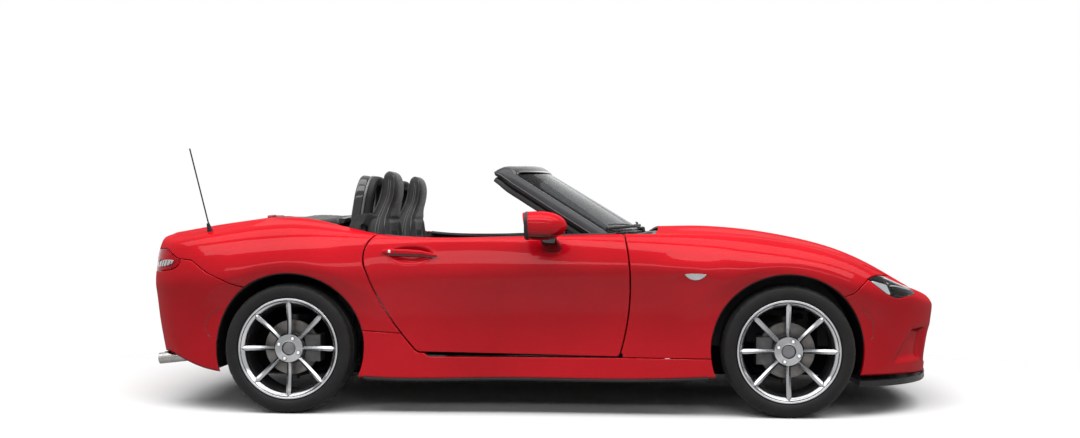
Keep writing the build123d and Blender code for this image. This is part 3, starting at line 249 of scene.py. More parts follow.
# ---------------------------------------------------------------- meshes
def flip_faces(faces):
    """The same faces seen from their other side."""
    return [f[:, ::-1] for f in faces]


def mirrored(points, faces):
    """The same shell on the car's other side."""
    return points * (1, -1, 1), flip_faces(faces)


def joined(*shells):
    """Several (points, faces) shells as one."""
    points, faces, start = [], [], 0
    for p, f in shells:
        points.append(p)
        faces += [x + start for x in f]
        start += len(p)
    return np.concatenate(points), faces


def both_sides(points, faces):
    """A shell of the left side with its mirror image."""
    return joined((points, faces), mirrored(points, faces))


def piece(name, shell, keys, body="root", stands_for=(), sharp=None, normals=None, uv=None):
    """A mesh object from a shell, in one finish or several, riding on its body.  Edges sharper
    than the angle sharp, in degrees, stay hard."""
    points, faces = shell
    mesh = bpy.data.meshes.new(name)
    mesh.vertices.add(len(points))
    mesh.vertices.foreach_set("co", np.asarray(points, np.float32).ravel())
    flat = np.concatenate([f.ravel() for f in faces]).astype(np.int32)
    sizes = np.concatenate([np.full(len(f), f.shape[1]) for f in faces])
    mesh.loops.add(len(flat))
    mesh.loops.foreach_set("vertex_index", flat)
    mesh.polygons.add(len(sizes))
    starts = np.concatenate([[0], np.cumsum(sizes)[:-1]]).astype(np.int32)
    mesh.polygons.foreach_set("loop_start", starts)
    mesh.update(calc_edges=True)
    mesh.validate()
    mesh.shade_smooth()
    if sharp is not None:
        mesh.set_sharp_from_angle(angle=math.radians(sharp))
    if normals is not None and len(mesh.vertices) == len(points):
        mesh.normals_split_custom_set_from_vertices(np.asarray(normals, np.float32).tolist())
    if uv is not None:
        layer = mesh.uv_layers.new(name="cloth")
        index = np.zeros(len(mesh.loops), np.int32)
        mesh.loops.foreach_get("vertex_index", index)
        layer.data.foreach_set("uv", np.asarray(uv, np.float32)[index].ravel())
    made = bpy.data.objects.new(name, mesh)
    bpy.context.scene.collection.objects.link(made)
    keys = [keys] if isinstance(keys, str) else keys
    for key in keys:
        mesh.materials.append(finishes[key])
    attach(made, body)
    if stands_for:
        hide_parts(*stands_for)
    return made


def face_places(mesh):
    """Centres and normals of a mesh's faces."""
    both = np.empty((2, len(mesh.polygons) * 3))
    mesh.polygons.foreach_get("center", both[0])
    mesh.polygons.foreach_get("normal", both[1])
    return both.reshape(2, -1, 3)


def slice_shell(values, faces, column, level, keep_low):
    """Cuts triangles along values[:, column] = level, straight across their edges; the low
    side stays too where keep_low is set."""
    s = values[:, column] - level
    up = s > 0
    count = up[faces].sum(1)
    kept = [faces[count == 3]]
    if keep_low:
        kept.append(faces[count == 0])
    parts = []
    for number, odd_is_up in ((1, True), (2, False)):
        tri = faces[count == number]
        odd = np.argmax(up[tri] == odd_is_up, axis=1)
        turn = (odd[:, None] + np.arange(3)) % 3
        parts.append((tri[np.arange(len(tri))[:, None], turn], odd_is_up))
    ends = np.concatenate([np.concatenate([p[:, [0, 1]], p[:, [0, 2]]]) for p, _ in parts])
    if not len(ends):
        return values, np.concatenate(kept)
    ordered = np.sort(ends, axis=1)
    unique, back = np.unique(ordered, axis=0, return_inverse=True)
    back = back.ravel()
    share = (s[unique[:, 0]] / (s[unique[:, 0]] - s[unique[:, 1]]))[:, None]
    added = values[unique[:, 0]] * (1 - share) + values[unique[:, 1]] * share
    start, place = len(values), 0
    for p, odd_is_up in parts:
        m = len(p)
        first, second = start + back[place:place + m], start + back[place + m:place + 2 * m]
        place += 2 * m
        corner = np.stack([p[:, 0], first, second], 1)
        rest = np.concatenate([np.stack([first, p[:, 1], p[:, 2]], 1), np.stack([first, p[:, 2], second], 1)])
        if odd_is_up or keep_low:
            kept.append(corner)
        if not odd_is_up or keep_low:
            kept.append(rest)
    return np.concatenate([values, added]), np.concatenate(kept)


def vertex_normals(points, faces):
    """Normals at the points, from the faces' areas."""
    total = np.zeros_like(points)
    for f in faces:
        n = np.cross(points[f[:, 2]] - points[f[:, 0]], points[f[:, -1]] - points[f[:, 1]])
        for k in range(f.shape[1]):
            np.add.at(total, f[:, k], n)
    return unit(total)


def panel(points, normals, edges, wall=.010, roll=.0032, square=()):
    """A trimmed sheet with a wall.  The grid of points (u, v) is cut where each edge distance is
    0; nearer than the roll r to a cut its surface sinks by r - sqrt(r^2 - (r - d)^2), and a copy
    one wall behind it, joined round the rim, closes it.  square edges aren't rolled."""
    nu, nv = points.shape[:2]
    quads = grid_faces(nu, nv)
    faces = np.concatenate([quads[:, [0, 1, 2]], quads[:, [0, 2, 3]]])
    a, b, c = (points.reshape(-1, 3)[faces[:, k]] for k in range(3))
    if (np.cross(b - a, c - a) * normals.reshape(-1, 3)[faces[:, 0]]).sum() < 0:
        faces = faces[:, ::-1]
    values = np.concatenate([points.reshape(-1, 3), normals.reshape(-1, 3)] + [e.reshape(-1, 1) for e in edges], 1)
    for k in range(len(edges)):
        if k not in square:
            for level in (roll, roll * .35):
                values, faces = slice_shell(values, faces, 6 + k, level, True)
        values, faces = slice_shell(values, faces, 6 + k, 0.0, False)
    used, back = np.unique(faces, return_inverse=True)
    faces, values = back.reshape(-1, 3), values[used]
    p, n = values[:, :3], unit(values[:, 3:6])
    rolled = [values[:, 6 + k] for k in range(len(edges)) if k not in square]
    near = np.min(rolled, axis=0) if rolled else np.full(len(p), 1.0)
    d = np.clip(near, 0, roll)
    front = p - n * (roll - np.sqrt(roll ** 2 - (roll - d) ** 2))[:, None]
    back_points = p - n * wall
    sides = np.concatenate([faces[:, [0, 1]], faces[:, [1, 2]], faces[:, [2, 0]]])
    key = sides[:, 0].astype(np.int64) * len(p) + sides[:, 1]
    twin = sides[:, 1].astype(np.int64) * len(p) + sides[:, 0]
    rim = sides[~np.isin(key, twin)]
    count = len(p)
    rim_faces = np.stack([rim[:, 1], rim[:, 0], rim[:, 0] + count, rim[:, 1] + count], 1)
    everything = np.concatenate([front, back_points])
    shells = [faces, faces[:, ::-1] + count, rim_faces]
    shade = vertex_normals(everything, shells)
    plain = near > roll * 1.02
    border = np.zeros(count, bool)
    border[rim.ravel()] = True
    shade[:count][plain & ~border] = n[plain & ~border]
    return everything, shells, shade


def panel_pair(parts):
    """Left-hand panels and their mirror images as one shell, with shading normals."""
    shell, shade = panel_row(parts)
    return both_sides(*shell), np.concatenate([shade, shade * (1, -1, 1)])


def panel_row(parts):
    """Several panels as one shell, with shading normals."""
    return joined(*[part[:2] for part in parts]), np.concatenate([part[2] for part in parts])


def lathe(profile, centre, steps):
    """Surface of revolution about an axle along Y: (x, z) = centre + r (sin a, cos a) for each
    (r, y) of the profile, which runs round the section anticlockwise seen from +X ahead."""
    profile = np.asarray(profile, float)
    a = np.linspace(0, 2 * math.pi, steps, endpoint=False)[:, None]
    r, y = profile[:, 0][None], profile[:, 1][None]
    points = np.stack([centre[0] + r * np.sin(a), centre[1] + y + 0 * a, centre[2] + r * np.cos(a)], -1)
    return points.reshape(-1, 3), [grid_faces(steps, len(profile), True, True)]


def turned(profile, steps, centre=(0, 0, 0)):
    """Closed surface of revolution about an axle along Y, facing outward."""
    return outward(lathe(profile, centre, steps))


def tube(path, radius, sides=12, squash=1.0):
    """Round bar along a path: p + r (cos a side + squash sin a over), with side and over square
    to the path; the radius may change along it.  Flat fans close its ends."""
    path = np.asarray(path, float)
    along = tangents(path)
    side = unit(np.cross(along, (0, 0, 1.0)))
    over = np.cross(side, along)
    a = np.linspace(0, 2 * math.pi, sides, endpoint=False)[:, None]
    r = np.broadcast_to(radius, len(path))[:, None, None]
    return capped(path[:, None] + r * (np.cos(a) * side[:, None] + squash * np.sin(a) * over[:, None]))


def capped(points):
    """Shell of rings (n, m, 3), with a fan over each end."""
    n, m = points.shape[:2]
    faces = [grid_faces(n, m, False, True)]
    flat = points.reshape(-1, 3)
    j = np.arange(m)
    faces.append(np.stack([np.full(m, n * m), (j + 1) % m, j], 1))
    faces.append(np.stack([np.full(m, n * m + 1), (n - 1) * m + j, (n - 1) * m + (j + 1) % m], 1))
    return outward((np.concatenate([flat, [flat[:m].mean(0), flat[-m:].mean(0)]]), faces))


def outward(shell):
    """The shell turned so that its faces point out: its signed volume is made positive."""
    points, faces = shell
    volume = sum(np.einsum("ij,ij->", points[f[:, 0]], np.cross(points[f[:, k - 1]], points[f[:, k]]))
                 for f in faces for k in range(2, f.shape[1]))
    return (points, faces) if volume > 0 else (points, flip_faces(faces))


def signed_powers(t, power):
    """|cos t| and |sin t| to the power 2/n, with the signs of cos t and sin t."""
    return [np.sign(wave) * np.abs(wave) ** (2 / power) for wave in (np.cos(t), np.sin(t))]


def pebble(centre, size, power=4.0, turn=None, rings=14, sides=28):
    """Rounded block, the superellipsoid |x/a|^n + |y/b|^n + |z/c|^n = 1 spread over latitude and
    longitude by signed powers 2/n of their sines and cosines."""
    lat = np.linspace(-math.pi / 2, math.pi / 2, rings)[1:-1, None]
    lon = np.linspace(-math.pi, math.pi, sides, endpoint=False)[None]
    (out, up), (ahead, aside) = signed_powers(lat, power), signed_powers(lon, power)
    half = np.asarray(size, float) / 2
    points = np.stack([half[0] * out * ahead, half[1] * out * aside, half[2] * up + 0 * lon], -1)
    if turn is not None:
        points = points @ np.asarray(turn, float).T
    return capped(points + np.asarray(centre, float))


def turn_y(degrees):
    """Matrix of a turn about Y, from Z towards X."""
    c, s = math.cos(math.radians(degrees)), math.sin(math.radians(degrees))
    return np.array([(c, 0, s), (0, 1, 0), (-s, 0, c)])


def turn_x(degrees):
    """Matrix of a turn about X, from Y towards Z."""
    c, s = math.cos(math.radians(degrees)), math.sin(math.radians(degrees))
    return np.array([(1, 0, 0), (0, c, -s), (0, s, c)])


finishes = {}


# ---------------------------------------------------------------- the body's outer surface
def crown_height(line, x, y):
    """z0(x) - fall(x) (y / 0.6)^2, with z0 and the fall as splines along the car."""
    order = np.argsort(line[:, 0])
    flat = np.clip(np.ravel(x), line[order[0], 0] - .08, line[order[-1], 0] + .08)
    base = spline_basis(line[order, 0], flat)
    z0, fall = (base @ line[order, 1]).reshape(np.shape(x)), (base @ line[order, 2]).reshape(np.shape(x))
    return z0 - fall * (np.asarray(y) / .6) ** 2


def section_keys():
    """Nine key points (x, y, z) of each section from the lower edge over the widest line and
    the crest to the shut line, which lies on the lid's crown where a lid meets it."""
    x, y, phi, low, low_in, tuck, wide, crest, crest_in, shut, shut_in = SECTIONS.T
    phi = np.radians(phi)
    at = (x - shut_in * np.cos(phi), y - shut_in * np.sin(phi))
    on_bonnet, on_boot = np.arange(16) >= 9, np.arange(16) <= 5
    shut = np.where(on_bonnet, crown_height(BONNET_LINE, *at), np.where(on_boot, crown_height(BOOT_LINE, *at), shut))
    below, above = wide - low, crest - wide
    inset = np.stack([low_in, tuck * 1.02 + low_in * .12, tuck * .34, 0 * x, crest_in * .10, crest_in * .36,
                      crest_in * .78, crest_in + .22 * (shut_in - crest_in), shut_in], 1)
    height = np.stack([low, low + .48 * below, low + .84 * below, wide, wide + .33 * above, wide + .70 * above,
                       wide + .96 * above, crest + .18 * (shut - crest), shut], 1)
    return np.stack([x[:, None] - inset * np.cos(phi)[:, None], y[:, None] - inset * np.sin(phi)[:, None], height], -1)


KEYS = section_keys()
RING = np.concatenate([KEYS, KEYS[14:0:-1] * (1, -1, 1)])
RING = np.concatenate([RING[-5:], RING, RING[:6]])
RING_RUN = chord_lengths(RING[:, 3, :2])
RING_RUN -= RING_RUN[5]
STATION = RING_RUN[5:21]
ROUND = RING_RUN[35]
ACROSS = np.mean([chord_lengths(k) / chord_lengths(k)[-1] for k in KEYS], axis=0)


def body_skin(run, across):
    """Points of the outer skin: P(u, v) = sum A(u) K B(v), cubic splines round the car at the
    plan length run and over the section at the share across (0 lower edge, 1 shut line)."""
    return np.einsum("ns,skc,mk->nmc", spline_basis(RING_RUN, run), RING, spline_basis(ACROSS, across))


def run_at(station):
    """Plan length at a section number, which may be a fraction."""
    return float(np.interp(station, np.arange(16), STATION))


ARCH_RIDGE, ARCH_LIP = .0055, .007
BOWL_DEPTH, SCOOP_DEPTH = .016, .024
CREASE = np.array([(-.80, .636), (-.50, .647), (0.0, .661), (.30, .674), (.45, .683),
                   (.62, .675), (.80, .664), (.9, .66)])


def pressed(points):
    """Pressed lines of the skin, as moves along its normal.  Round each wheel opening, at d from
    its edge, a ridge where d = 0.042 + 0.045 (angle / 50 deg)^2 with the lip leaning in below
    it; along the side a shallow ridge on the crease line, deepening over the side marker; a bowl
    behind each door handle and a three-cornered scoop in each front corner."""
    normals = outward_normals(points)
    x, z = points[..., 0], points[..., 2]
    move = np.zeros(x.shape)
    for centre in (FRONT_X, REAR_X):
        d = np.hypot(x - centre, z - WHEEL_Z) - ARCH_RADIUS
        angle = np.abs(np.degrees(np.arctan2(x - centre, z - WHEEL_Z)))
        place = .042 + .045 * np.clip(angle / 50, 0, 1.5) ** 2
        fade = (1 - smooth_step(angle, 52, 88)) * (1 - smooth_step(d, .20, .26))
        lean = 1 - d / place
        lean = (lean + np.sqrt(lean * lean + .02)) / 2
        move += fade * (ARCH_RIDGE * ridge(d - place, place, .12, .007) - ARCH_LIP * np.clip(lean, 0, 1.3))
    line = np.interp(x, CREASE[:, 0], CREASE[:, 1])
    fade = smooth_step(x, -.78, -.45) * (1 - smooth_step(x, .76, .90))
    depth = .0032 + .0060 * smooth_step(x, .52, .70)
    move += fade * depth * ridge(line - z, .07, .085 - .035 * smooth_step(x, .52, .70), .005)
    bowl = 1 - ((x + .568) / .108) ** 2 - ((z - .742) / .0400) ** 2
    move -= BOWL_DEPTH * smooth_step(bowl, 0, .62) * (points[..., 1] > 0)
    scoop = np.minimum.reduce([z - .236, .402 - z, (x - 1.655) * .82 - (z - .244) * .57, np.abs(points[..., 1]) - .515])
    move -= SCOOP_DEPTH * smooth_step(scoop, 0, .030)
    return points + normals * move[..., None]


def outward_normals(points):
    """Normals of a grid of the skin, away from the middle of the car."""
    return normals_towards(points, points - (0, 0, .45))


def skin_sheet(start, end, step=.0145, lines=62, low=0.0, high=1.0):
    """Part of the pressed skin between two plan lengths, with its normals and plan lengths."""
    run = np.linspace(start, end, max(8, int((end - start) / step)))
    points = pressed(body_skin(run, np.linspace(low, high, lines)))
    return points, outward_normals(points), run


def skin_between(first, last, **grid):
    """Part of the pressed skin between two sections, with its normals and its distances."""
    points, normals, _ = skin_sheet(run_at(first), run_at(last), **grid)
    return points, normals, side_distances(points)


def door_outline():
    """Side view (x, z) of the shut line round a door."""
    front, rear, low = DOOR_FRONT_X, DOOR_REAR_X, .270
    a, b, c = (rear + .068, .900), (rear + .068, .848), (rear + .014, .662)
    d, e = (rear + .226, low + .040), (rear + .268, low + .016)
    f, g, h = (front - .050, low), (front - .022, .820), (front - .080, .872)
    return np.concatenate([[a], arc_2d(b, (rear, .752), c, 30), arc_2d(c, (rear + .106, .468), d, 40)[1:],
                           arc_2d(d, (rear + .240, low + .024), e, 5)[1:], arc_2d(f, (front, .560), g, 50),
                           arc_2d(g, (front - .040, .848), h, 8)[1:], [(front - .080, .900)]])


LAMP_CORNER = .012
DOOR = door_outline()
SILL = [(REAR_X, 0)] + SILL_TOP + [(FRONT_X, 0)]


def side_distances(points):
    """Distances in the side view to the lines that part the skin, positive inside each outline
    and outside each wheel opening."""
    lines = {"door": DOOR, "sill": SILL, "nose": FRONT_SEAM, "tail": REAR_SEAM,
             "headlamp": rounded(HEADLAMP, LAMP_CORNER), "tail_lamp": rounded(TAIL_LAMP, LAMP_CORNER)}
    found = {name: field_of(points, (0, 2), line) for name, line in lines.items()}
    for name, centre in (("front_arch", FRONT_X), ("rear_arch", REAR_X)):
        found[name] = np.hypot(points[..., 0] - centre, points[..., 2] - WHEEL_Z) - ARCH_RADIUS
    return found


def field_of(points, axes, outline):
    """Distance of a grid's points, seen along one axis, to an outline."""
    return outline_distance(points[..., axes].reshape(-1, 2), outline).reshape(points.shape[:2])


def lid_sheet(line, outline, relief=None):
    """Grid over a lid's plan outline (x, y), on its crown and relief, with its normals and the
    distance inside the outline."""
    outline = np.asarray(outline)
    lo, hi = outline.min(0) - .01, outline.max(0) + .01
    x, y = np.meshgrid(*[np.arange(lo[k], hi[k] + LID_STEPS[k], LID_STEPS[k]) for k in (0, 1)], indexing="ij")
    z = crown_height(line, x, y)
    if relief is not None:
        z = z + relief(x, y)
    points = np.stack([x, y, z], -1)
    normals = grid_normals(points)
    return points, normals * np.sign(normals[..., 2:3]), field_of(points, (0, 1), outline)


LID_STEPS = (.018, .020)


def shut_curve(first, last, inset, count=80):
    """Plan points (x, y) a little inside the shut line between two sections."""
    run = np.linspace(run_at(first), run_at(last), count)
    curve = body_skin(run, [1.0])[:, 0, :2]
    along = tangents(curve)
    return curve + inset * np.stack([along[:, 1], -along[:, 0]], -1)


def bonnet_outline(gap):
    """Plan outline (x, y) of the bonnet, a gap inside the shut line, its rear edge an arc."""
    side = shut_curve(8.0, 15.0, gap, 140)
    side = side[side[:, 0] > .575]
    side[-1, 1] = 0
    corner = (.5615 + gap * .4, side[0, 1] + .002)
    rear = arc_2d((corner[0], -corner[1]), (.600, 0), corner, 40)
    return np.concatenate([rear, side, side[-2::-1] * (1, -1)])


def boot_outline(gap):
    """Plan outline (x, y) of the boot lid, a gap inside the shut line, its front edge straight."""
    side = shut_curve(2.0, 4.6, gap, 80)[::-1]
    side = side[side[:, 0] < -1.380]
    tail = shut_curve(0.0, 2.0, 0.0, 50)[::-1]
    half = np.concatenate([[(-1.375, side[0, 1])], side[:-4], tail[2:]])
    half[-1, 1] = 0
    return np.concatenate([half, half[-2::-1] * (1, -1)])


# ---------------------------------------------------------------- finishes
def wired(tree, kind, out, *ordered, settings=(), **feeds):
    """Output of a new shader node.  Its settings are attributes; the ordered feeds go to its
    inputs by place and the others by name (underscores for spaces), each a value or the output
    of another node."""
    made = tree.nodes.new("ShaderNode" + kind)
    for name, value in settings:
        setattr(made, name, value)
    named = {name.replace("_", " "): value for name, value in feeds.items()}
    for place, value in [*enumerate(ordered), *named.items()]:
        if isinstance(value, bpy.types.NodeSocket):
            tree.links.new(value, made.inputs[place])
        else:
            made.inputs[place].default_value = value
    return made.outputs[out]


def blended(tree, share, first, second):
    """Colour between two, by a share."""
    return wired(tree, "Mix", "Result", settings=[("data_type", "RGBA")], Factor=share, A=(*first, 1), B=(*second, 1))


def new_finish(name):
    """A material with its node tree, its shader's inputs and its object coordinates."""
    made = bpy.data.materials.new(name)
    made.use_nodes = True
    tree = made.node_tree
    return made, tree, tree.nodes["Principled BSDF"].inputs, wired(tree, "TexCoord", "Object")


# Bump textures: node, output, settings.
GRAINS = {"noise": ("TexNoise", "Fac", {"Detail": 4}), "cells": ("TexVoronoi", "Distance", {}),
          "weave": ("TexWave", "Fac", {"Distortion": .6})}
BUMP_DEPTH = .0015


def finish(name, colour, shade, rough, *, blotch=6.0, metal=0.0, grain=0.0, grain_scale=400.0, grain_kind="noise",
           rough_span=.08, coat=0.0, sheen=0.0, specular=.35, ior=1.5, through=0.0, stretch=(1, 1, 1)):
    """A surface finish.  Slow noise on object coordinates mixes the colour with its shade, finer
    noise varies the roughness by the span, and a grain (noise, cells or weave) gives the bump."""
    made, tree, shader, place = new_finish(name)
    place = wired(tree, "Mapping", "Vector", Vector=place, Scale=stretch)
    slow = wired(tree, "TexNoise", "Fac", Vector=place, Scale=blotch, Detail=4)
    spread = wired(tree, "MapRange", "Result", Value=slow, From_Min=.325, From_Max=.675)
    tree.links.new(blended(tree, spread, colour, shade), shader["Base Color"])
    fine = wired(tree, "TexNoise", "Fac", Vector=place, Scale=blotch * 7, Detail=3)
    gloss = wired(tree, "MapRange", "Result", Value=fine, From_Min=.3, From_Max=.7,
                  To_Min=max(0.0, rough - rough_span / 2), To_Max=rough + rough_span / 2)
    tree.links.new(gloss, shader["Roughness"])
    if grain:
        kind, out, settings = GRAINS[grain_kind]
        height = wired(tree, kind, out, Vector=place, Scale=grain_scale, **settings)
        bump = wired(tree, "Bump", "Normal", Strength=grain, Distance=BUMP_DEPTH, Height=height)
        tree.links.new(bump, shader["Normal"])
    for socket, value in (("Metallic", metal), ("IOR", ior), ("Specular IOR Level", specular), ("Coat Weight", coat),
                          ("Sheen Weight", sheen), ("Transmission Weight", through)):
        shader[socket].default_value = value
    return made


FLAKES_PER_METRE = 1400
PEEL_PER_METRE = 160


def paint_finish(deep, bright):
    """Candy paint: a metal flake base whose colour changes from flake to flake (small Voronoi
    cells on object coordinates) under a clear coat with a faint orange-peel ripple.  The coat is
    strongest where the surface faces the eye."""
    made, tree, shader, place = new_finish("candy_paint")
    flakes = wired(tree, "TexVoronoi", "Color", Vector=place, Scale=FLAKES_PER_METRE)
    slow = wired(tree, "TexNoise", "Fac", Vector=place, Scale=2.2)
    tone = wired(tree, "SeparateColor", "Red", Color=flakes)
    share = wired(tree, "Math", "Value", tone, slow, settings=[("operation", "MULTIPLY")])
    tree.links.new(blended(tree, share, deep, bright), shader["Base Color"])
    tree.links.new(wired(tree, "MapRange", "Result", Value=slow, To_Min=.24, To_Max=.34), shader["Roughness"])
    peel = wired(tree, "TexNoise", "Fac", Vector=place, Scale=PEEL_PER_METRE)
    tree.links.new(wired(tree, "Bump", "Normal", Strength=.012, Distance=.001, Height=peel), shader["Coat Normal"])
    facing = wired(tree, "LayerWeight", "Facing", Blend=.5)
    tree.links.new(wired(tree, "MapRange", "Result", Value=facing, To_Min=.40, To_Max=.02), shader["Coat Weight"])
    for socket, value in (("Metallic", .08), ("Specular Tint", (.75, .04, .05, 1)), ("Specular IOR Level", 0.0),
                          ("Coat Roughness", .025), ("Coat IOR", 1.42)):
        shader[socket].default_value = value
    return made


def glass_finish(name, tint, rough=.01, ior=1.46):
    """Clear or tinted pane or lens: transmission tinted by slow noise."""
    return finish(name, tint, tuple(c * .93 for c in tint), rough, blotch=3.0, rough_span=.012, through=1.0, ior=ior)


# Fixed finishes: key, name, colour, shade, roughness, the rest.
PLAIN_FINISHES = [
    ("gloss_trim", "gloss_black_trim", (.008, .008, .009), (.014, .014, .015), .12,
     dict(blotch=7, rough_span=.05, coat=.4)),
    ("rubber", "seal_rubber", (.012,) * 3, (.022,) * 3, .62, dict(blotch=20, grain=.3, grain_scale=500)),
    ("tyre", "tyre_rubber", (.008, .008, .0085), (.014, .0138, .0135), .55,
     dict(blotch=14, grain=.22, grain_scale=260, rough_span=.2, specular=.18)),
    ("polished", "polished_lip", (.44, .445, .455), (.38, .385, .395), .14, dict(blotch=12, metal=1.0, rough_span=.05)),
    ("dark_alloy", "rim_barrel", (.20, .20, .21), (.11, .11, .115), .34, dict(blotch=16, metal=.9, rough_span=.12)),
    ("iron", "brake_iron", (.13, .125, .12), (.08, .077, .075), .38,
     dict(blotch=30, metal=.9, grain=.15, grain_scale=700, stretch=(1, .2, 1), rough_span=.2)),
    ("cast", "cast_metal", (.085, .085, .088), (.05,) * 3, .55, dict(blotch=24, metal=.8, grain=.5, grain_scale=350)),
    ("black_metal", "chassis_black", (.018, .018, .019), (.035, .034, .033), .55,
     dict(blotch=12, grain=.3, grain_scale=240)),
    ("exhaust", "exhaust_steel", (.26, .255, .25), (.17, .16, .15), .28,
     dict(blotch=14, metal=1.0, grain=.08, grain_scale=500, rough_span=.16)),
    ("chrome", "bright_chrome", (.80, .81, .82), (.68, .69, .70), .06, dict(blotch=9, metal=1.0, rough_span=.03)),
    ("red_lens", "red_lens", (.42, .004, .010), (.26, .002, .005), .10,
     dict(blotch=12, through=.35, coat=.8, ior=1.49, rough_span=.04)),
    ("red_glass", "red_lamp_glass", (.62, .008, .022), (.48, .005, .014), .06,
     dict(blotch=9, through=.45, specular=.12, ior=1.15, rough_span=.02)),
    ("marker", "marker_lens", (.42, .42, .43), (.34, .34, .35), .14,
     dict(blotch=20, metal=.5, coat=.6, rough_span=.06)),
    ("thread", "stitch_thread", (.30, .29, .28), (.20, .19, .19), .75,
     dict(blotch=60, grain=.5, grain_scale=2200, sheen=.3)),
    ("carpet", "floor_carpet", (.014, .014, .015), (.032, .031, .031), .95,
     dict(blotch=40, grain=1.0, grain_scale=800, sheen=.5, specular=.2)),
    ("webbing", "belt_webbing", (.020, .020, .021), (.04, .04, .041), .72,
     dict(blotch=30, grain=.7, grain_scale=900, grain_kind="weave", sheen=.3)),
    ("plastic", "cabin_plastic", (.014, .014, .015), (.026, .026, .027), .55,
     dict(blotch=9, grain=.4, grain_scale=700, grain_kind="cells", rough_span=.14, specular=.14)),
    ("grey_strip", "hoop_strip", (.10, .10, .102), (.15, .15, .152), .42,
     dict(blotch=12, metal=.4, grain=.12, grain_scale=700)),
    ("mirror", "mirror_silver", (.90, .91, .92), (.86, .87, .88), .02, dict(blotch=2, metal=1.0, rough_span=.01)),
    ("liner", "wheelhouse_felt", (.006,) * 3, (.014,) * 3, .95,
     dict(blotch=20, grain=.7, grain_scale=420, specular=.1)),
]


def make_finishes(c):
    """Every finish of the car; those that a user may change take their colours from the panel,
    with a shade that is a share of the colour."""
    def pair(value, share, first=1.0):
        """A colour and its shade, each a share of the value."""
        return [tuple(v * part for v in tuple(value)[:3]) for part in (first, share)]
    finishes["paint"] = paint_finish(tuple(c.paint_deep)[:3], tuple(c.paint_bright)[:3])
    for key, name, colours, rough, rest in (
            ("trim", "moulded_trim", pair(c.trim, 1.8), .48,
             dict(blotch=9, grain=.25, grain_scale=900, rough_span=.16, specular=.2)),
            ("satin", "satin_grey_frame", pair(c.satin, .8), .36,
             dict(blotch=8, grain=.10, grain_scale=700, metal=.35)),
            ("alloy", "bright_alloy", pair(c.alloy, .82), .20,
             dict(blotch=10, metal=1.0, rough_span=.08, grain=.03, grain_scale=1400)),
            ("leather", "seat_leather", pair(c.leather, 1.7), .46,
             dict(blotch=11, grain=.45, grain_scale=520, grain_kind="cells", rough_span=.14, specular=.12)),
            ("perforated", "perforated_leather", pair(c.leather, 1.4, .75), .62,
             dict(blotch=11, grain=.8, grain_scale=330, grain_kind="cells", specular=.10)),
            ("cloth", "top_cloth", pair(c.cloth, 2.0), .86,
             dict(blotch=14, grain=.55, grain_scale=620, grain_kind="weave", sheen=.35, specular=.25))):
        finishes[key] = finish(name, *colours, rough, **rest)
    for key, name, colour, shade, rough, rest in PLAIN_FINISHES:
        finishes[key] = finish(name, colour, shade, rough, **rest)
    finishes["glass"] = glass_finish("screen_glass", (.26, .27, .275), ior=1.05)
    finishes["lens"] = glass_finish("clear_lens", (.80, .81, .82), .015, ior=1.12)


# ---------------------------------------------------------------- panel of the add-on
def colour(name, value, about):
    """A colour setting."""
    return bpy.props.FloatVectorProperty(name=name, description=about, subtype="COLOR", size=3,
                                         min=0, max=1, default=value)


def length(name, value, about):
    """A length setting, in metres."""
    return bpy.props.FloatProperty(name=name, description=about, default=value, min=0, unit="LENGTH")


class RoadsterColours(bpy.types.PropertyGroup):
    """Colours that a user would change."""
    paint_deep: colour("Paint, deep", (.42, .0025, .008), "Colour of the paint's darker flakes")
    paint_bright: colour("Paint, bright", (.95, .010, .026), "Colour of the paint's brighter flakes")
    trim: colour("Moulded trim", (.012, .012, .013), "Lips, grille and outside plastics")
    satin: colour("Screen frame", (.030, .031, .034), "Satin grey of the windscreen frame")
    alloy: colour("Wheels", (.34, .345, .355), "Metal of the wheel spokes")
    leather: colour("Leather", (.020, .020, .021), "Seats and door pads")
    cloth: colour("Soft top", (.012, .012, .013), "Cloth of the folded top")


class RoadsterSizes(bpy.types.PropertyGroup):
    """Sizes that a user would change."""
    shut_line: length("Shut line", .0056, "Gap round doors and lids")
    seam: length("Seam", .0026, "Gap between fixed panels")
    panel_wall: length("Panel thickness", .011, "Thickness of an outer panel with its flange")
    edge_roll: length("Edge roll", .0034, "Radius of a panel's folded edge")
    spoke_width: length("Spoke width", .0150, "Width of a spoke halfway out")
    disc_radius: length("Brake disc radius", .129, "Radius of the discs")
    spokes: bpy.props.IntProperty(name="Spokes", description="Spokes of each wheel", default=8, min=3, max=16)
    lugs: bpy.props.IntProperty(name="Wheel nuts", description="Nuts of each wheel", default=4, min=3, max=6)


# ---------------------------------------------------------------- painted panels
def painted(name, parts, body="root", stands_for=(), pair=True):
    """Object from trimmed panels with the skin's own shading normals.  Its inner side, whose
    faces look back towards the car's middle line, is coated black."""
    shell, shade = (panel_pair if pair else panel_row)(parts)
    made = piece(name, shell, ["paint", "black_metal"], body, stands_for, normals=shade)
    centres, normals = face_places(made.data)
    away = unit(centres * (.25, 1, 1) - (0, 0, .45))
    made.data.polygons.foreach_set("material_index", ((away * normals).sum(1) < -.2).astype(np.int32))


